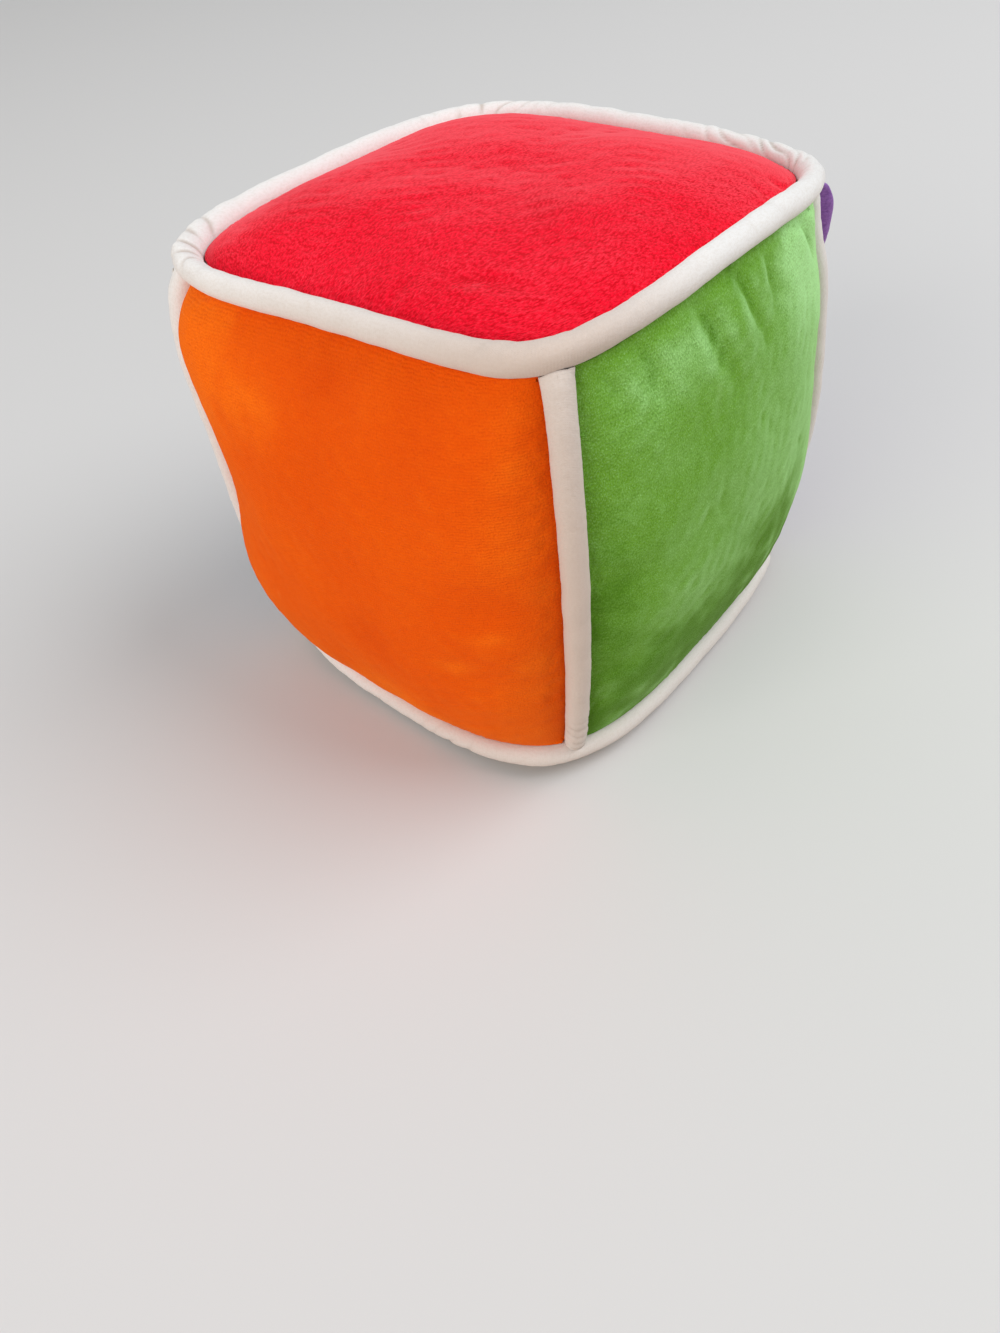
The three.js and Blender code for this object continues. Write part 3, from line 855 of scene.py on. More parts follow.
print("rows past the edge:", len(fold_rows))

# %% The faces
plush_thickness = 1.2 * mm
start_inset = 0.6 * mm  # how far a panel starts inside its formula, because the pressure carries it out
piping_gap = 0.18 * mm
tested_share = 0.86  # only points nearer to the edge than this are tested against the piping
calm_reach = (0.08, 0.20)  # corners are averaged fully up to the first distance and not past the second
cap_rounds, side_rounds = 150, 20


def thickened(piece, thickness):
    """The piece with an even thickness on its inner side."""
    solid = piece.modifiers.new("cloth thickness", "SOLIDIFY")
    solid.thickness, solid.offset = thickness, -1
    return piece


def calm_corners(grid, rounds):
    """The grid after rounds of averaging that count only close to its corners, where its cells are squeezed."""
    corner_share = (1 - smooth(from_corner, *calm_reach)) * (by_seam > 0.001)
    for _ in range(rounds):
        grid = grid + (averaged(grid, 1) - grid) * corner_share[..., None]
    return grid


def add_face(name, seed, side, spare, share, fold, calming):
    """Start shape, first folds, simulation, finer grid and relief. Then the edge and the rows that turn in are
    added, all is kept clear of the piping and above the floor, and the plush gets its thickness."""
    panel = cap_panel(cap_levels[side], coarse) if side in cap_levels else side_panel(side, coarse)
    start = settled(panel)
    inner = np.clip(4 * seam_distance(grid_u, grid_v), 0, 1)
    start = start + grid_normals(start) * (first_folds(seed, fold) - start_inset * inner)[..., None]
    start = stuffed(name, start, spare, share, calming)
    grid, crease_shading, pile_lie_and_painted_light = relief(name, finer(start), seed)
    count = len(fine)
    outline = ring_of(np.arange(grid[..., 0].size).reshape(count, count))
    points = grid.reshape(-1, 3)
    first = len(points)
    points[outline], *rows = edge_rows(side, seed)
    points = np.concatenate([points, *rows])
    near = np.ones(len(points), bool)
    near[:first] = (np.maximum(np.abs(fine_u), np.abs(fine_v)) > tested_share).ravel()
    points = clear_of_piping(points, near, piping_radius + piping_gap, side not in cap_levels)
    grid = calm_corners(points[:first].reshape(count, count, 3), cap_rounds if side in cap_levels else side_rounds)
    points[:first] = grid.reshape(-1, 3)
    points[:, 2] = np.maximum(points[:, 2], 0)
    flat = np.stack([fine_u, fine_v], axis=-1).reshape(-1, 2) * half_width
    uv = np.concatenate([flat, *[flat[outline] * (1 + past) for past in fold_uv]])
    # The fold height drives painted shade and light in the finish; the lie map is brushed pile plus painted light and
    # shade.
    hollow, brushed = [np.append(value, np.zeros(len(points) - first)) for value in (crease_shading, pile_lie_and_painted_light)]
    quads = np.concatenate([grid_faces(count, count), row_faces(outline, first)])
    return thickened(add_mesh(name + "_plush", points, quads, uv, hollow=hollow, brushed=brushed), plush_thickness)


face_pieces = {name: add_face(name, seed, *facts) for seed, (name, facts) in enumerate(faces.items(), 11)}
print("faces:", {name: len(piece.data.polygons) for name, piece in face_pieces.items()})

# %% [markdown]
# ## The piping
# Piping is a strip of white knit folded round a cord, with both of its ends caught in the seam. A bevelled
# curve would give a plain tube, but the real strip has a flange and it wrinkles where the seam turns. So its
# section is carried along the seam as a grid, and the distance from the cord changes with both parameters.

# %% The section of a piping strip and its wrinkles
strip_thickness = 0.6 * mm
flange_half = 0.75 * mm
flange_depth = 9.4 * mm
flange_steps = np.array([1, 0.6, 0.25])
flange_turn = np.pi - math.asin(flange_half / piping_radius)
round_count = 34
round_part = slice(len(flange_steps), len(flange_steps) + round_count)
round_angles = np.linspace(-flange_turn, flange_turn, round_count)
loop_pitch, upright_pitch = 6.4 * mm, 3.4 * mm  # from crease to crease
crease_power = 1.8


def strip_section(radius):
    """Across and outwards for each point: up one flange, round the cord at the given radius, and down the other.
    radius has one column for each point of the round part."""
    steps = len(flange_steps)
    across = np.zeros((len(radius), round_count + 2 * steps))
    outwards = np.zeros_like(across)
    across[:, round_part] = radius * np.sin(round_angles)
    outwards[:, round_part] = radius * np.cos(round_angles)
    base = -piping_radius * math.cos(math.asin(flange_half / piping_radius))
    down = base - (flange_depth + base) * flange_steps
    across[:, :steps], across[:, -steps:] = -flange_half, flange_half
    outwards[:, :steps], outwards[:, -steps:] = down, down[::-1]
    return across, outwards


def creases(phase):
    """Soft ribs with narrow creases between them: 1 minus the absolute sine, to a power, is 0 on a rib's back."""
    return -((1 - np.abs(np.sin(phase))) ** crease_power)


def strip_radius(length, amount, twist, inner_side, seed, pitch):
    """The piping's radius plus slow waves, small dents at the stitches, and creases that run round the cord and
    slant by the twist, as strong as amount says at each station. inner_side, from -1 to 1, says how much
    stronger they are towards one side, because a strip gathers on the inside of its turn."""
    s, angle = length[:, None], round_angles[None, :]

    def uneven(reach, size, number):
        """Waves of a size in mm over the strip. A radian round the cord counts as a reach in mm."""
        return waves(s, reach * mm * angle, size * mm, seed + number)

    slow, small = 0.12 * mm * uneven(3, 12, 1), 0.04 * mm * uneven(3, 3.2, 2)
    strength = np.clip(0.8 + 0.6 * uneven(2, 11, 3), 0.15, 1.4)
    lean = np.clip(1 - inner_side * (0.35 + np.sin(angle)), 0.1, 1.6)
    phase = np.pi * s / pitch + twist * angle / 2 + 1.3 * uneven(4, 18, 0)
    fold = creases(phase) * amount[:, None] * mm
    return piping_radius + (slow + small + fold * strength * lean) * np.clip(np.cos(angle / 2), 0, 1)


print("points round a strip:", round_count + 2 * len(flange_steps))


# %% Stations along a closed seam
station_step = 0.72 * mm


def even_azimuths(level):
    """Azimuths that are evenly spaced along the closed seam, by interpolating its summed length."""
    azimuth = np.linspace(0, 2 * np.pi, 4001)
    steps = np.linalg.norm(np.diff(loop_point(azimuth, level), axis=0), axis=1)
    length = np.concatenate([[0], np.cumsum(steps)])
    count = int(length[-1] / station_step)
    even = np.linspace(0, length[-1], count, endpoint=False)
    return np.interp(even, length, azimuth), even, length[-1]


def near_azimuth(azimuth, degrees, width):
    """A hill of height 1 at an azimuth, with a width in degrees: exp of minus the squared angle between them."""
    turn = (azimuth - math.radians(degrees) + np.pi) % (2 * np.pi) - np.pi
    return np.exp(-((turn / math.radians(width)) ** 2))


print("length of the top seam in mm:", round(even_azimuths(TOP)[2] / mm, 1))


# %% A strip as a mesh
def strip_mesh(name, place, section, length, radius, worn, closed):
    """A strip's section carried along its places, with a UV map of its length along the seam and its width
    across. Where its radius is small, its hollow is more than zero, and the finish paints shade there.
    worn says how soiled it is at each station, with painted warm shade on the near strips."""
    points = in_seam(place, *section)
    rows, columns = points.shape[:2]
    faces = grid_faces(rows, columns, wrap_rows=closed)[:, ::-1]
    wide = np.linspace(0, 2 * np.pi * piping_radius + 2 * (flange_depth - piping_radius), columns)
    i, j = faces // columns, faces % columns
    past_end = closed & (i == 0) & (np.max(i, axis=1, keepdims=True) == rows - 1)
    along = np.where(past_end, length[-1] + station_step, length[i])
    uv = np.stack([along, wide[j]], axis=-1).reshape(-1, 2)
    crease_shading = np.zeros((rows, columns))
    # How deep each crease lies; the finish uses this to paint shade.
    crease_shading[:, round_part] = (piping_radius - radius) / mm
    piece = add_mesh(name, settled(points), faces, uv, hollow=crease_shading, worn=worn[:, None] + np.zeros_like(crease_shading))
    return thickened(piece, strip_thickness)


# %% Closed piping round the top and the bottom
top_inner_side = 0.7  # the top strip gathers on the side of its turn
join_length = 12 * mm  # over which a closed strip's end is blended on to its start


def add_loop(name, level, spots, thick, worn_spots, seed):
    """A closed strip. spots lists (azimuth in degrees, width in degrees, depth of the creases in mm, twist), thick
    is one azimuth, width and share by which the strip is thicker there, and worn_spots lists (azimuth,
    width, how much): soiling plus painted warm shade where the strip faces the front."""
    azimuth, length, total = even_azimuths(level)
    amount = sum(depth * near_azimuth(azimuth, where, width) for where, width, depth, _ in spots)
    twist = sum(turn * near_azimuth(azimuth, where, 1.5 * width) for where, width, _, turn in spots)[:, None]
    worn = sum(share * near_azimuth(azimuth, where, width) for where, width, share in worn_spots)
    around = length * round(total / loop_pitch) * loop_pitch / total
    radius = strip_radius(around, amount, twist, top_inner_side if level == TOP else 0, seed, loop_pitch)
    blend = np.clip((total - length) / join_length, 0, 1)[:, None]
    radius = radius * blend + radius[:1] * (1 - blend)
    section = strip_section(radius * (1 + thick[2] * near_azimuth(azimuth, *thick[:2])[:, None]))
    place = [part[:, None] for part in loop_frame(azimuth, level)]
    print(name, "length in mm:", round(total / mm, 1), "stations:", len(length))
    return strip_mesh(name, place, section, length, radius, worn, closed=True)


top_spots = [
    (225, 15, 0.6, 0.6), (47, 14, 0.35, -2.0), (68, 16, 0.42, -3.4), (-45, 12, 0.15, 1.0), (135, 16, 0.45, 1.0),
    (0, 200, 0.05, 0.0),
]
bottom_spots = [
    (225, 14, 0.45, 1.0), (45, 14, 0.45, 1.0), (-70, 12, 0.30, 2.0), (135, 14, 0.45, 1.0), (0, 200, 0.06, 0.0),
]
# Soiling plus painted warm shade, strongest where the piping faces the front: azimuth, width, how much.
top_worn = [(-45, 26, 0.90), (-90, 30, 0.50), (-135, 25, 0.15), (180, 50, 0.10)]
bottom_worn = [(-60, 50, 0.65), (20, 40, 0.40), (180, 70, 0.40)]
piping_pieces = {
    "top_piping": add_loop("top_piping_strip", TOP, top_spots, (-48, 14, 0.08), top_worn, 21),
    "bottom_piping": add_loop("bottom_piping_strip", BOTTOM, bottom_spots, (-48, 14, 0.04), bottom_worn, 22),
}

# %% Upright piping, hollowed at both ends to meet the closed piping
upright_half = (top_seam_height - bottom_seam_height) / 2 - corner_draw
upright_twist = 2.6
end_gap, flange_gap = 0.15 * mm, 0.3 * mm  # from the closed piping's round part, and from its flange
lower_gap = 1.5 * mm  # how much further the round part stops above the bottom piping
# The second number is soiling plus painted warm shade, strongest on the near strip.
uprights = {  # by which share the upper end is wider, and how soiled the strip is
    "front_right": (0.12, 1.0), "back_right": (0.05, 0.5), "back_left": (0.05, 0.5), "front_left": (0.05, 0.4),
}


def end_cut(outwards):
    """How far a strip stops short of a closed seam's cord: the closed piping's own circle, seen from the side,
    and where the strip lies deeper, the width of that seam's flange."""
    hollow = np.sqrt(np.clip((piping_radius + end_gap) ** 2 - outwards**2, 0, None))
    return np.maximum(hollow, (flange_half + flange_gap) * math.sqrt(2) - outwards)


def add_upright(name, seed, flare, soiled):
    """A strip from the bottom seam to the top one. Each section point ends where it meets the closed piping. Its
    creases are strong at the foot, and high powers of the height shape its ends: the foot is drawn in, and the
    upper end is wide and flat."""
    at = np.linspace(-1, 1, int(2 * upright_half / station_step))
    length = at * upright_half
    low, high = np.clip(-at, 0, 1), np.clip(at, 0, 1)
    amount = 0.05 + 0.55 * smooth(low, 0.62, 0.90) + 0.15 * high**10
    radius = strip_radius(length, amount, upright_twist, 0, seed, upright_pitch)
    taper = 1 - 0.07 * low**1.5 - 0.10 * low**40 + flare * high**24
    flatter = 1 - 0.45 * high**12 - 0.15 * low**20
    across, outwards = strip_section(radius * taper[:, None])
    outwards = np.where(outwards > 0, outwards * flatter[:, None], outwards)
    short = end_cut(outwards) + lower_gap * smooth(outwards, 0, piping_radius) * (at < 0)[:, None]
    place = upright_frame(name, at[:, None] * (1 - short / upright_half))
    # Soiling plus painted warm shade, less towards both ends.
    worn = soiled - 0.3 * at**2
    section = (across, outwards)
    return strip_mesh(name + "_piping_strip", place, section, length + upright_half, radius, worn, closed=False)


for seed, (name, (flare, soiled)) in enumerate(uprights.items(), 31):
    piping_pieces[name + "_piping"] = add_upright(name, seed, flare, soiled)
print("piping:", {name: len(piece.data.polygons) for name, piece in piping_pieces.items()})

# %% [markdown]
# ## The cords inside the piping
# Each strip is wrapped round a soft twisted cord. It is hidden, but the object has it, so it is made as a
# three-strand cord: the radius rises and falls three times round the section, and the pattern turns along it.

# %% Twisted cords
cord_radius = 2.35 * mm
cord_lay = 14 * mm  # length in which the strands turn once
cord_sides = 18
cord_stations = 90
cord_end_gap = 0.5 * mm


def cord_section(length):
    """Radius 1 - 0.13 x (1 - |cos|) of one and a half times the turning angle, so three strands show."""
    angle = np.linspace(0, 2 * np.pi, cord_sides, endpoint=False)[None, :]
    strand = np.abs(np.cos(1.5 * (angle - 2 * np.pi * length[:, None] / cord_lay)))
    radius = cord_radius * (0.87 + 0.13 * strand)
    return radius * np.sin(angle), radius * np.cos(angle)


def add_cord(name, level=None):
    """A closed seam's cord where a level is given, and otherwise an upright seam's, capped by two polygons."""
    if level is None:
        at = np.linspace(-1, 1, cord_stations) * (1 - (piping_radius + cord_end_gap) / upright_half)
        length, place = at * upright_half, upright_frame(name, at)
    else:
        azimuth, length, total = even_azimuths(level)
        azimuth, length = azimuth[::2], length[::2] * round(total / cord_lay) * cord_lay / total
        place = loop_frame(azimuth, level)
    points = in_seam([part[:, None] for part in place], *cord_section(length))
    rows, columns = points.shape[:2]
    faces = grid_faces(rows, columns, wrap_rows=level is not None, wrap_columns=True)[:, ::-1].tolist()
    if level is None:
        faces += [list(range(columns)), list(range(rows * columns - 1, (rows - 1) * columns - 1, -1))]
    return add_mesh(name + "_piping_twist", settled(points), faces)


cord_pieces = {"top_piping": add_cord("top", TOP), "bottom_piping": add_cord("bottom", BOTTOM)}
for name in corners:
    cord_pieces[name + "_piping"] = add_cord(name)
print("cords:", {name: len(piece.data.polygons) for name, piece in cord_pieces.items()})

# %% [markdown]
# ## The fibre filling
# Loose polyester fibre has no shape of its own: it takes that of the cover. So the filling starts from its
# solid, is made an even mesh by a voxel remesh, and gets soft hollows that only ever go inwards, which keeps it
# clear of the plush.

# %% The filling
cover_gap = 1.2 * mm  # how far the filling stays inside its solid, besides its hollows
large_hollows, small_hollows = (1.6 * mm, 22 * mm), (0.4 * mm, 7 * mm)  # depth and length
floor_gap = 2.2 * mm
solid_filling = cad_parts["fibre_filling"]
filling = bpy.data.objects.new("fibre_filling_body", solid_filling.data.copy())
filling.data.name = "fibre_filling_body"
bpy.context.scene.collection.objects.link(filling)
remesh = filling.modifiers.new("even mesh", "REMESH")
remesh.mode, remesh.voxel_size = "VOXEL", 4 * mm
soft = filling.modifiers.new("soft", "SMOOTH")
soft.factor, soft.iterations = 0.5, 6
evaluated = filling.evaluated_get(bpy.context.evaluated_depsgraph_get())
even = bpy.data.meshes.new_from_object(evaluated)
filling.modifiers.clear()
filling.data = even
places = np.empty(len(even.vertices) * 3, np.float32)
even.vertices.foreach_get("co", places)
places = places.reshape(-1, 3).astype(float)
x, y, z = places.T
hollows = large_hollows[0] * (1 + waves(x + z, y - z, large_hollows[1], 41))
hollows += small_hollows[0] * (1 + waves(x - z, y + z, small_hollows[1], 42))
places -= unit(places - places.mean(axis=0)) * (cover_gap + hollows)[:, None]
places[:, 2] = np.maximum(places[:, 2], floor_gap)
even.vertices.foreach_set("co", places.astype(np.float32).ravel())
even.polygons.foreach_set("use_smooth", np.ones(len(even.polygons), bool))
even.update()
print("filling:", len(even.polygons), "faces")

# %% [markdown]
# ## The plush
# Short pile is thousands of cut threads that lie slightly to one side. From near, one sees a fine grain of lit
# tips and dark gaps; from further away, cloudy patches where the pile was brushed another way; and at a glancing
# angle, a pale sheen, which is painted into the colour. Hair particles could show it, but the pile is under a
# millimetre long, so a colour and a height that vary at the size of a tuft do the same for far less. All three
# sizes of pattern are in one node group, which each face places with its own colours. The group also paints
# shade into the fold valleys, light on the fold ridges, and the painted light and shade of the lie map.

# %% Wires that add and multiply
class Wire:
    """An output socket that can be used like a number: each sum, difference, product or quotient makes one Math
    node in its tree."""

    def __init__(self, tree, socket):
        self.tree = tree
        self.socket = socket

    def __add__(self, other):
        return maths(self.tree, "ADD", self, other)

    def __sub__(self, other):
        return maths(self.tree, "SUBTRACT", self, other)

    def __rsub__(self, other):
        return maths(self.tree, "SUBTRACT", other, self)

    def __mul__(self, other):
        return maths(self.tree, "MULTIPLY", self, other)

    def __truediv__(self, other):
        return maths(self.tree, "DIVIDE", self, other)


def node(tree, kind, links=(), **settings):
    """A node with its settings. links are pairs of an input, by name or number, and a wire or a value."""
    made = tree.nodes.new(kind)
    for key, value in settings.items():
        setattr(made, key, value)
    for where, what in links:
        if isinstance(what, Wire):
            tree.links.new(what.socket, made.inputs[where])
        else:
            made.inputs[where].default_value = what
    return made


def wire(tree, kind, links=(), output=0, **settings):
    """The wire that comes out of a new node."""
    return Wire(tree, node(tree, kind, links, **settings).outputs[output])


def maths(tree, operation, *values):
    """One Math node; each value is a wire or a number."""
    return wire(tree, "ShaderNodeMath", enumerate(values), operation=operation)


# %% Nodes that every finish uses
def blended(factor, a, b):
    """A colour between a and b."""
    return wire(factor.tree, "ShaderNodeMix", [(0, factor), (6, a), (7, b)], output=2, data_type="RGBA")


def ranged(value, low, high, to_low=0.0, to_high=1.0):
    """A value carried smoothly from one range to another."""
    links = [(0, value), (1, low), (2, high), (3, to_low), (4, to_high)]
    return wire(value.tree, "ShaderNodeMapRange", links, interpolation_type="SMOOTHSTEP")


def grain(vector, size, detail=2.0, roughness=0.55, stretch=(1, 1, 1)):
    """Noise whose features are about one size, in metres, after the cloth's own length or width is stretched."""
    tree = vector.tree
    scaled = wire(tree, "ShaderNodeVectorMath", [(0, vector), (1, stretch)], operation="MULTIPLY")
    links = [("Vector", scaled), ("Scale", maths(tree, "DIVIDE", 1.0, size)), ("Detail", detail)]
    return wire(tree, "ShaderNodeTexNoise", [*links, ("Roughness", roughness)])


def new_group(name, inputs):
    """An empty shader node group. inputs gives each input's name and first value: a colour, a number, or None for
    a vector. Returns the group and its inputs as wires by name."""
    group = bpy.data.node_groups.new(name, "ShaderNodeTree")
    for title, value in inputs.items():
        kind = {tuple: "NodeSocketColor", float: "NodeSocketFloat"}.get(type(value), "NodeSocketVector")
        socket = group.interface.new_socket(name=title, in_out="INPUT", socket_type=kind)
        if value is not None:
            socket.default_value = value
    start = group.nodes.new("NodeGroupInput")
    return group, {title: Wire(group, start.outputs[title]) for title in inputs}


def group_gives(group, **wires):
    """Ends a group with a named output for each wire, of the wire's own kind."""
    for title, what in wires.items():
        kind = "NodeSocketColor" if what.socket.type == "RGBA" else "NodeSocketFloat"
        group.interface.new_socket(name=title, in_out="OUTPUT", socket_type=kind)
    end = group.nodes.new("NodeGroupOutput")
    for title, what in wires.items():
        group.links.new(what.socket, end.inputs[title])
    print("group:", group.name, "with", len(group.nodes), "nodes")


# %% The group for short pile
pile, given = new_group("short pile", {
    "Vector": None,
    "Colour": (0.8, 0.1, 0.1, 1), "Gaps": (0.5, 0.05, 0.05, 1), "Tips": (1.0, 0.3, 0.3, 1), "Painted sheen": (1.0, 0.3, 0.3, 1),
    "Tuft": 0.7 * mm, "Grain": 0.6, "Brushed": 0.5, "Ribs": 0.0, "Painted sheen share": 0.0, "Fold shading": 0.0, "Lie and painted light": 0.0,
})
rib_pitch, rib_wander = 0.78 * mm, 1.6 * mm
tuft = grain(given["Vector"], given["Tuft"], detail=3, roughness=0.62, stretch=(1.2, 0.7, 1))
other_tuft = grain(given["Vector"], given["Tuft"] * 0.8, stretch=(1.2, 0.7, 1))
thread = grain(given["Vector"], 0.30 * mm, detail=1, stretch=(1, 0.6, 1))
patch = grain(given["Vector"], 2.6 * mm, detail=3, roughness=0.65)
cloud = grain(given["Vector"], 17 * mm)
up = wire(pile, "ShaderNodeSeparateXYZ", [(0, given["Vector"])], output=1)
rib = maths(pile, "SINE", (up + patch * rib_wander) * (2 * math.pi / rib_pitch)) * (given["Ribs"] * 0.5)
# Painted shade in the fold valleys and painted light on the fold ridges, read from the kept fold height.
crease_shading, ridge_highlight = ranged(given["Fold shading"], 0.0, 0.5), ranged(given["Fold shading"], 0.0, -0.4)
# The lie map darkens and lightens the pile: partly its lie, partly painted light and painted shade.
darker, lighter = ranged(given["Lie and painted light"], 0.0, -1.0), ranged(given["Lie and painted light"], 0.0, 1.0)

gap = ranged(tuft, 0.66, 0.34) * given["Grain"] * ranged(patch, 0.70, 0.30, 0.6, 1.2)
gap = gap + maths(pile, "MAXIMUM", rib, 0.0) * 0.5 + crease_shading * 0.75 + darker * 0.8
gap = gap * (1.0 - given["Painted sheen share"])

tip = ranged(other_tuft, 0.44, 0.72) + ranged(thread, 0.48, 0.68, 0.0, 0.6)
tip = tip * ranged(patch, 0.30, 0.70, 0.5, 1.2) + ranged(cloud, 0.45, 0.7, 0.0, 0.35)
tip = tip * given["Brushed"] + ridge_highlight * 0.55 + lighter * 0.9

# Painted sheen: towards the outline the colour turns to the painted sheen colour.
lit = blended(given["Painted sheen share"], blended(tip, given["Colour"], given["Tips"]), given["Painted sheen"])
height = tuft * 0.8 + thread * 0.3 + patch * 0.35 - rib * 0.35
group_gives(pile, Colour=blended(gap, lit, given["Gaps"]), Height=height)

# %% [markdown]
# ## Marks of handling
# A toy cube is thrown and picked up, so its cloth carries faint marks: grey where hands hold it and pale where
# it rubbed. They could be painted as a picture for each piece, but noise in the shared frame needs no picture
# and runs on across the seams. One group gives a mask of irregular blotches, and each finish mixes its own mark
# colour by it.

# %% The group for marks
marks, given = new_group("handling marks", {"Vector": None, "Size": 12 * mm, "Reach": 0.5, "Amount": 0.3})
blotch = grain(given["Vector"], given["Size"], detail=4, roughness=0.65)
speckle = grain(given["Vector"], 1.1 * mm)
low = 0.75 - given["Reach"] * 0.35
mask = ranged(blotch, low, low + 0.16) * ranged(speckle, 0.3, 0.6, 0.5, 1.0)
group_gives(marks, Mask=mask * given["Amount"])

# %% [markdown]
# ## The white knit of the piping
# The strip is fine tricot: columns of V-shaped stitches half a millimetre wide, raised a little, under a light
# fuzz. Real loops of yarn would take millions of faces, so two sine waves draw them as a colour and a height.
# The stitches follow the strip, so they are drawn in its UV map, which is in metres along and across.

# %% The group for fine knit
knit, given = new_group("fine knit", {
    "Vector": None, "Colour": (0.8, 0.8, 0.8, 1), "Gaps": (0.6, 0.6, 0.6, 1), "Stitch": 0.55 * mm, "Depth": 0.5,
})
fuzz = grain(given["Vector"], 0.9 * mm, detail=3, roughness=0.7)
along, across = [wire(knit, "ShaderNodeSeparateXYZ", [(0, given["Vector"])], output=k) for k in (0, 1)]
wale = across / given["Stitch"] + fuzz * 0.5
side_of_wale = maths(knit, "ABSOLUTE", maths(knit, "FRACT", wale) - 0.5)
course = along / given["Stitch"] + side_of_wale + fuzz * 0.6
loops, column = [maths(knit, "SINE", phase * (2 * math.pi)) for phase in (course, side_of_wale)]
stitch = (loops + column) * 0.25 * given["Depth"]
dark = wire(knit, "ShaderNodeClamp", [(0, stitch * -0.6 + ranged(fuzz, 0.62, 0.36, 0.0, 0.35))])
group_gives(knit, Colour=blended(dark, given["Colour"], given["Gaps"]), Height=stitch + fuzz * 0.9)


# %% Placing the groups in materials
def placed(tree, group, values):
    """A group in a material, with its inputs linked or set. Returns its outputs as wires by name."""
    made = node(tree, "ShaderNodeGroup", values.items(), node_tree=group)
    return {socket.name: Wire(tree, socket) for socket in made.outputs}


def cloth_material(name, roughness, sheen, sheen_tint, sheen_roughness):
    """A matte fabric: the Principled shader's own sockets carry what is the same all over."""
    material = bpy.data.materials.new(name)
    material.use_nodes = True
    shader = material.node_tree.nodes["Principled BSDF"]
    shader.inputs["Roughness"].default_value = roughness
    shader.inputs["Specular IOR Level"].default_value = 0.08
    shader.inputs["Sheen Weight"].default_value = sheen
    shader.inputs["Sheen Tint"].default_value = (*sheen_tint, 1)
    shader.inputs["Sheen Roughness"].default_value = sheen_roughness
    return material, material.node_tree


def cloth_place(tree):
    """Metres along and across the cloth, from the piece's own UV map."""
    return wire(tree, "ShaderNodeUVMap", uv_map="cloth")


def solid_place(tree):
    """Metres in the frame that all pieces share."""
    return wire(tree, "ShaderNodeTexCoord", output="Object")


def kept_number(tree, key):
    """A number that the mesh keeps for each of its points."""
    return wire(tree, "ShaderNodeAttribute", output="Fac", attribute_name=key)


def finish_with(tree, colour, height, distance, strength=1.0):
    """Links a colour and a bumped normal into the shader."""
    shader = tree.nodes["Principled BSDF"]
    bump = wire(tree, "ShaderNodeBump", [("Height", height), ("Distance", distance), ("Strength", strength)])
    tree.links.new(colour.socket, shader.inputs["Base Color"])
    tree.links.new(bump.socket, shader.inputs["Normal"])


# %% How each plush looks
plain_pile = {"Tuft": 0.52, "Grain": 0.6, "Brushed": 0.30, "Ribs": 0.12, "turned": (0.42, 1.0), "aside": 0.5}
# turned and aside: where and how strongly Layer Weight paints the sheen colour in, towards the outline.
plush_looks = {  # turned: from where to where the side view comes in; aside: how strong it gets
    "red": {
        "Colour": (1.0, 0.0040, 0.030), "Gaps": (0.60, 0.0004, 0.009), "Tips": (1.0, 0.050, 0.085),
        "Painted sheen": (1.0, 0.105, 0.135), "Tuft": 0.80, "Grain": 1.0, "Brushed": 0.50, "Ribs": 0.0,
        "turned": (0.54, 0.98), "aside": 0.95, "tint": (1.0, 0.35, 0.4),
    },
    "orange": {
        "Colour": (0.86, 0.100, 0.0015), "Gaps": (0.70, 0.062, 0.001), "Tips": (1.0, 0.175, 0.005),
        "Painted sheen": (1.0, 0.190, 0.010), "Tuft": 0.50, "Grain": 0.34, "Brushed": 0.20, "Ribs": 0.60,
        "turned": (0.42, 1.0), "aside": 0.30, "tint": (1.0, 0.55, 0.15),
    },
    "green": {
        "Colour": (0.170, 0.410, 0.034), "Gaps": (0.085, 0.240, 0.012), "Tips": (0.47, 0.89, 0.35),
        "Painted sheen": (0.50, 0.92, 0.42), "Tuft": 0.50, "Grain": 0.52, "Brushed": 0.28, "Ribs": 0.24,
        "turned": (0.42, 1.0), "aside": 0.65, "tint": (0.7, 1.0, 0.5),
    },
    "purple": {
        **plain_pile, "Colour": (0.27, 0.120, 0.41), "Gaps": (0.15, 0.055, 0.26), "Tips": (0.42, 0.24, 0.62),
        "Painted sheen": (0.42, 0.26, 0.62), "tint": (0.85, 0.7, 1.0),
    },
    "blue": {
        **plain_pile, "Colour": (0.025, 0.13, 0.48), "Gaps": (0.010, 0.055, 0.26), "Tips": (0.09, 0.27, 0.68),
        "Painted sheen": (0.10, 0.29, 0.70), "tint": (0.6, 0.8, 1.0),
    },
    "yellow": {
        **plain_pile, "Colour": (0.87, 0.51, 0.022), "Gaps": (0.68, 0.33, 0.010), "Tips": (0.95, 0.68, 0.12),
        "Painted sheen": (0.95, 0.69, 0.15), "Grain": 0.5, "aside": 0.4, "tint": (1.0, 0.9, 0.5),
    },
}
print("plush colours:", list(plush_looks))


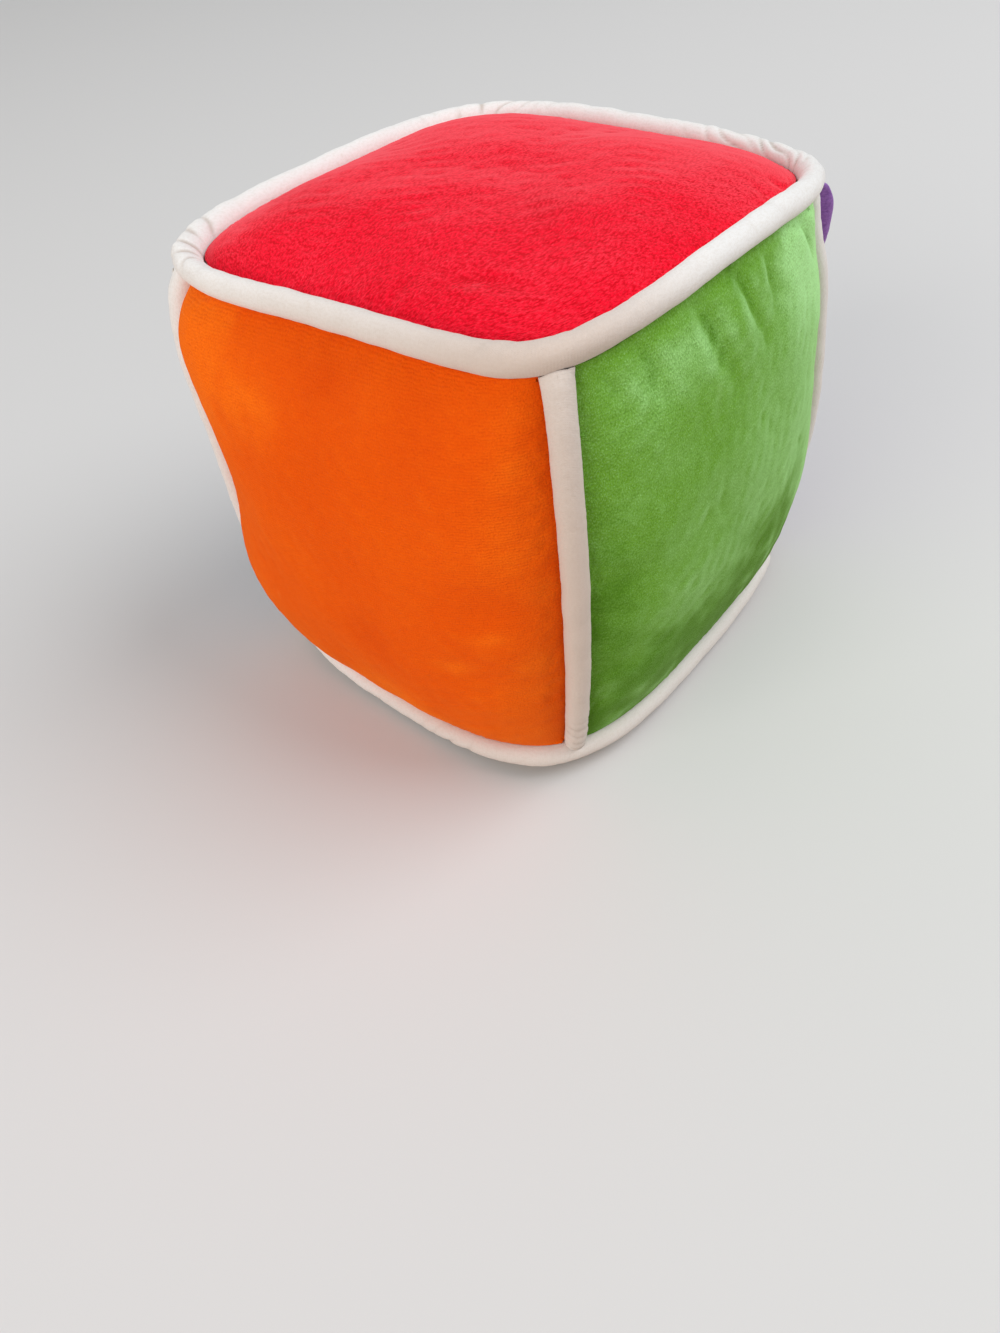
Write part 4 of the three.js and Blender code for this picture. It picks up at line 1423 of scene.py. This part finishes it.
# %% The plush finishes
def plush(name, looks):
    """The pile group, with pale rubbed marks over it, and the same height as a bump. Seen from the side, pile
    shows its lit tips, so Layer Weight paints a sheen colour in towards the outline, but less in hollows and where
    the pile lies darker. Through the group, the kept fold height paints shade and light, and so does the lie map."""
    material, tree = cloth_material(name + "_short_pile", 0.95, 0.15, looks["tint"], 0.4)
    crease_shading, pile_lie_and_painted_light = kept_number(tree, "hollow"), kept_number(tree, "brushed")
    # Painted sheen: the Layer Weight facing ratio mixes in a paler sheen colour near the outline.
    facing_ratio = wire(tree, "ShaderNodeLayerWeight", [("Blend", 0.5)], output="Facing")
    seen_aside = ranged(facing_ratio, *looks["turned"], 0.0, looks["aside"]) * ranged(crease_shading, 0.0, 0.12, 1.0, 0.2)
    values = {"Vector": cloth_place(tree), "Tuft": looks["Tuft"] * mm, "Fold shading": crease_shading, "Lie and painted light": pile_lie_and_painted_light}
    values["Painted sheen share"] = seen_aside * ranged(pile_lie_and_painted_light, -0.1, -0.8, 1.0, 0.25)
    values.update({key: (*looks[key], 1) for key in ("Colour", "Gaps", "Tips", "Painted sheen")})
    values.update({key: looks[key] for key in ("Grain", "Brushed", "Ribs")})
    cloth = placed(tree, pile, values)
    rubbed = placed(tree, marks, {"Vector": solid_place(tree), "Size": 14 * mm, "Reach": 0.30, "Amount": 0.10})
    colour = blended(rubbed["Mask"], cloth["Colour"], (*looks["tint"], 1))
    finish_with(tree, colour, cloth["Height"], 0.42 * mm, 0.8)
    return material


for name, piece in face_pieces.items():
    colour_name = name.split("_")[0]
    piece.data.materials.append(plush(colour_name, plush_looks[colour_name]))
print("finished faces:", len(face_pieces))


# %% The finishes of the piping, its cords and the filling
def white_knit():
    """The knit group, with grey marks, browner by the wear map, which is soiling plus painted warm shade on the
    near strips, and with painted shade where the strip lies in a crease.
    """
    material, tree = cloth_material("white_tricot", 0.95, 0.35, (1, 1, 1), 0.5)
    white, between = (0.86, 0.86, 0.855, 1), (0.68, 0.64, 0.59, 1)
    cloth = placed(tree, knit, {"Vector": cloth_place(tree), "Colour": white, "Gaps": between})
    soiled = placed(tree, marks, {"Vector": solid_place(tree), "Size": 9 * mm, "Reach": 0.45, "Amount": 0.25})
    colour = blended(soiled["Mask"], cloth["Colour"], (0.60, 0.54, 0.45, 1))
    # Soiling plus painted warm shade on the near strips.
    worn = ranged(kept_number(tree, "worn"), 0.0, 1.2, 0.0, 0.8)
    colour = blended(worn, colour, (0.56, 0.425, 0.345, 1))
    # Painted shade where the strip lies in a crease.
    crease_shading = ranged(kept_number(tree, "hollow"), 0.05, 0.52, 0.0, 0.70)
    colour = blended(crease_shading, colour, (0.52, 0.43, 0.37, 1))
    finish_with(tree, colour, cloth["Height"], 0.16 * mm, 0.8)
    return material


def twisted_cotton():
    """The knit group again, unbleached and almost flat."""
    material, tree = cloth_material("twisted_cotton", 0.95, 0.2, (1, 1, 1), 0.5)
    values = {"Vector": solid_place(tree), "Colour": (0.84, 0.81, 0.74, 1), "Gaps": (0.6, 0.56, 0.48, 1), "Depth": 0.2}
    cloth = placed(tree, knit, values)
    finish_with(tree, cloth["Colour"], cloth["Height"], 0.2 * mm)
    return material


def loose_fibre():
    """Long soft noise, as a colour and as a height."""
    material, tree = cloth_material("loose_fibre", 1.0, 0.5, (1, 1, 1), 0.6)
    strands = grain(solid_place(tree), 1.4 * mm, detail=5, roughness=0.75, stretch=(1, 1, 0.3))
    colour = blended(ranged(strands, 0.35, 0.6), (0.74, 0.73, 0.70, 1), (0.93, 0.92, 0.90, 1))
    finish_with(tree, colour, strands, 1.2 * mm)
    return material


white, cotton = white_knit(), twisted_cotton()
for pieces, finish in ((piping_pieces, white), (cord_pieces, cotton)):
    for piece in pieces.values():
        piece.data.materials.append(finish)
filling.data.materials.clear()
filling.data.materials.append(loose_fibre())
print("materials:", sorted(material.name for material in bpy.data.materials))

# %% [markdown]
# ## Bodies of the pieces
# The cube is one soft body, so every piece rides on it, and the solid that each piece stands for is hidden.
# This is done in loops over the pieces.

# %% Ride and replace
for name, piece in face_pieces.items():
    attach(piece, "root")
    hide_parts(name)
    name.split("_")[0] + "_plush"
for name, piece in piping_pieces.items():
    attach(piece, "root")
    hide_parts(name + "_cover")
for name, piece in cord_pieces.items():
    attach(piece, "root")
    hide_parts(name + "_cord")
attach(filling, "root")
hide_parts("fibre_filling")

# %% [markdown]
# ## Floor, light and camera
# The real cube stands on a brown wooden floor, in daylight from behind its right side, with a warmer room in
# front. Boards could be modelled too, but they would say nothing about the cube. So the floor is a plain plane
# that the camera sees as grey, while the light that bounces from it on to the plush is brown. Two large soft
# lamps stand for the window and the room, and a grey world for the rest. The camera was fitted to the seams and
# the boards of the photograph, so a render can be laid over it.

# %% The floor
def for_camera(tree, others, seen):
    """One colour for the camera's own rays, and another for the light that bounces."""
    return blended(wire(tree, "ShaderNodeLightPath", output="Is Camera Ray"), others, seen).socket


floor_half = 2.0
floor_corners = np.array([[-1, -1, 0], [1, -1, 0], [1, 1, 0], [-1, 1, 0]]) * floor_half
floor = add_mesh("floor", floor_corners, [[0, 1, 2, 3]])
floor_finish = bpy.data.materials.new("pale_floor")
floor_finish.use_nodes = True
floor_tree = floor_finish.node_tree
floor_shader = floor_tree.nodes["Principled BSDF"]
floor_shader.inputs["Roughness"].default_value = 0.9
floor_colour = for_camera(floor_tree, (0.46, 0.37, 0.30, 1), (0.66, 0.66, 0.66, 1))
floor_tree.links.new(floor_colour, floor_shader.inputs["Base Color"])
floor.data.materials.append(floor_finish)
print("floor:", 2 * floor_half, "m square")


# %% Lights
lamp_target = Vector((0, 0, 0.07))


def add_light(name, place, size, power, colour):
    """A round area lamp, in metres and watts, turned to the middle of the cube."""
    lamp = bpy.data.lights.new(name, "AREA")
    lamp.shape, lamp.size, lamp.energy, lamp.color = "DISK", size, power, colour
    light = bpy.data.objects.new(name, lamp)
    light.location = place
    light.rotation_mode = "QUATERNION"
    light.rotation_quaternion = (lamp_target - Vector(place)).to_track_quat("-Z", "Y")
    bpy.context.scene.collection.objects.link(light)


add_light("window", (1.0, 0.8, 1.54), 1.5, 24, (0.97, 0.985, 1.0))
add_light("room", (-0.05, -1.9, 0.75), 1.8, 25, (1.0, 0.94, 0.88))
world = bpy.data.worlds.new("soft room")
world.use_nodes = True
bpy.context.scene.world = world
sky = world.node_tree
sky.links.new(for_camera(sky, (0.5, 0.5, 0.5, 1), (0.68, 0.68, 0.68, 1)), sky.nodes["Background"].inputs["Color"])
sky.nodes["Background"].inputs["Strength"].default_value = 1
bpy.context.scene.view_settings.view_transform = "Standard"
print("lamps:", [light.name for light in bpy.data.lights])

# %% The camera
image_height = 1333  # in pixels; the photograph is upright
focal_pixels = 1001.6
yaw, pitch, roll = math.radians(43.66), math.radians(45.94), math.radians(-9.13)
camera_place = np.array([168.4, -184.4, 225.4]) * mm + outline_shift
forward = Vector((-math.cos(yaw) * math.cos(pitch), math.sin(yaw) * math.cos(pitch), -math.sin(pitch)))
right = Vector((math.sin(yaw), math.cos(yaw), 0))
upward = right.cross(forward)
image_right = math.cos(roll) * right + math.sin(roll) * upward
image_up = -math.sin(roll) * right + math.cos(roll) * upward
lens = bpy.data.cameras.new("camera")
lens.sensor_width = 36
lens.lens = focal_pixels * lens.sensor_width / image_height
lens.clip_start, lens.clip_end = 0.01, 20
camera = bpy.data.objects.new("camera", lens)
camera.matrix_world = Matrix((image_right, image_up, -forward)).transposed().to_4x4()
camera.location = camera_place
bpy.context.scene.collection.objects.link(camera)
bpy.context.scene.camera = camera
print("camera at", camera_place.round(3), "with a lens of", round(lens.lens, 2), "mm")
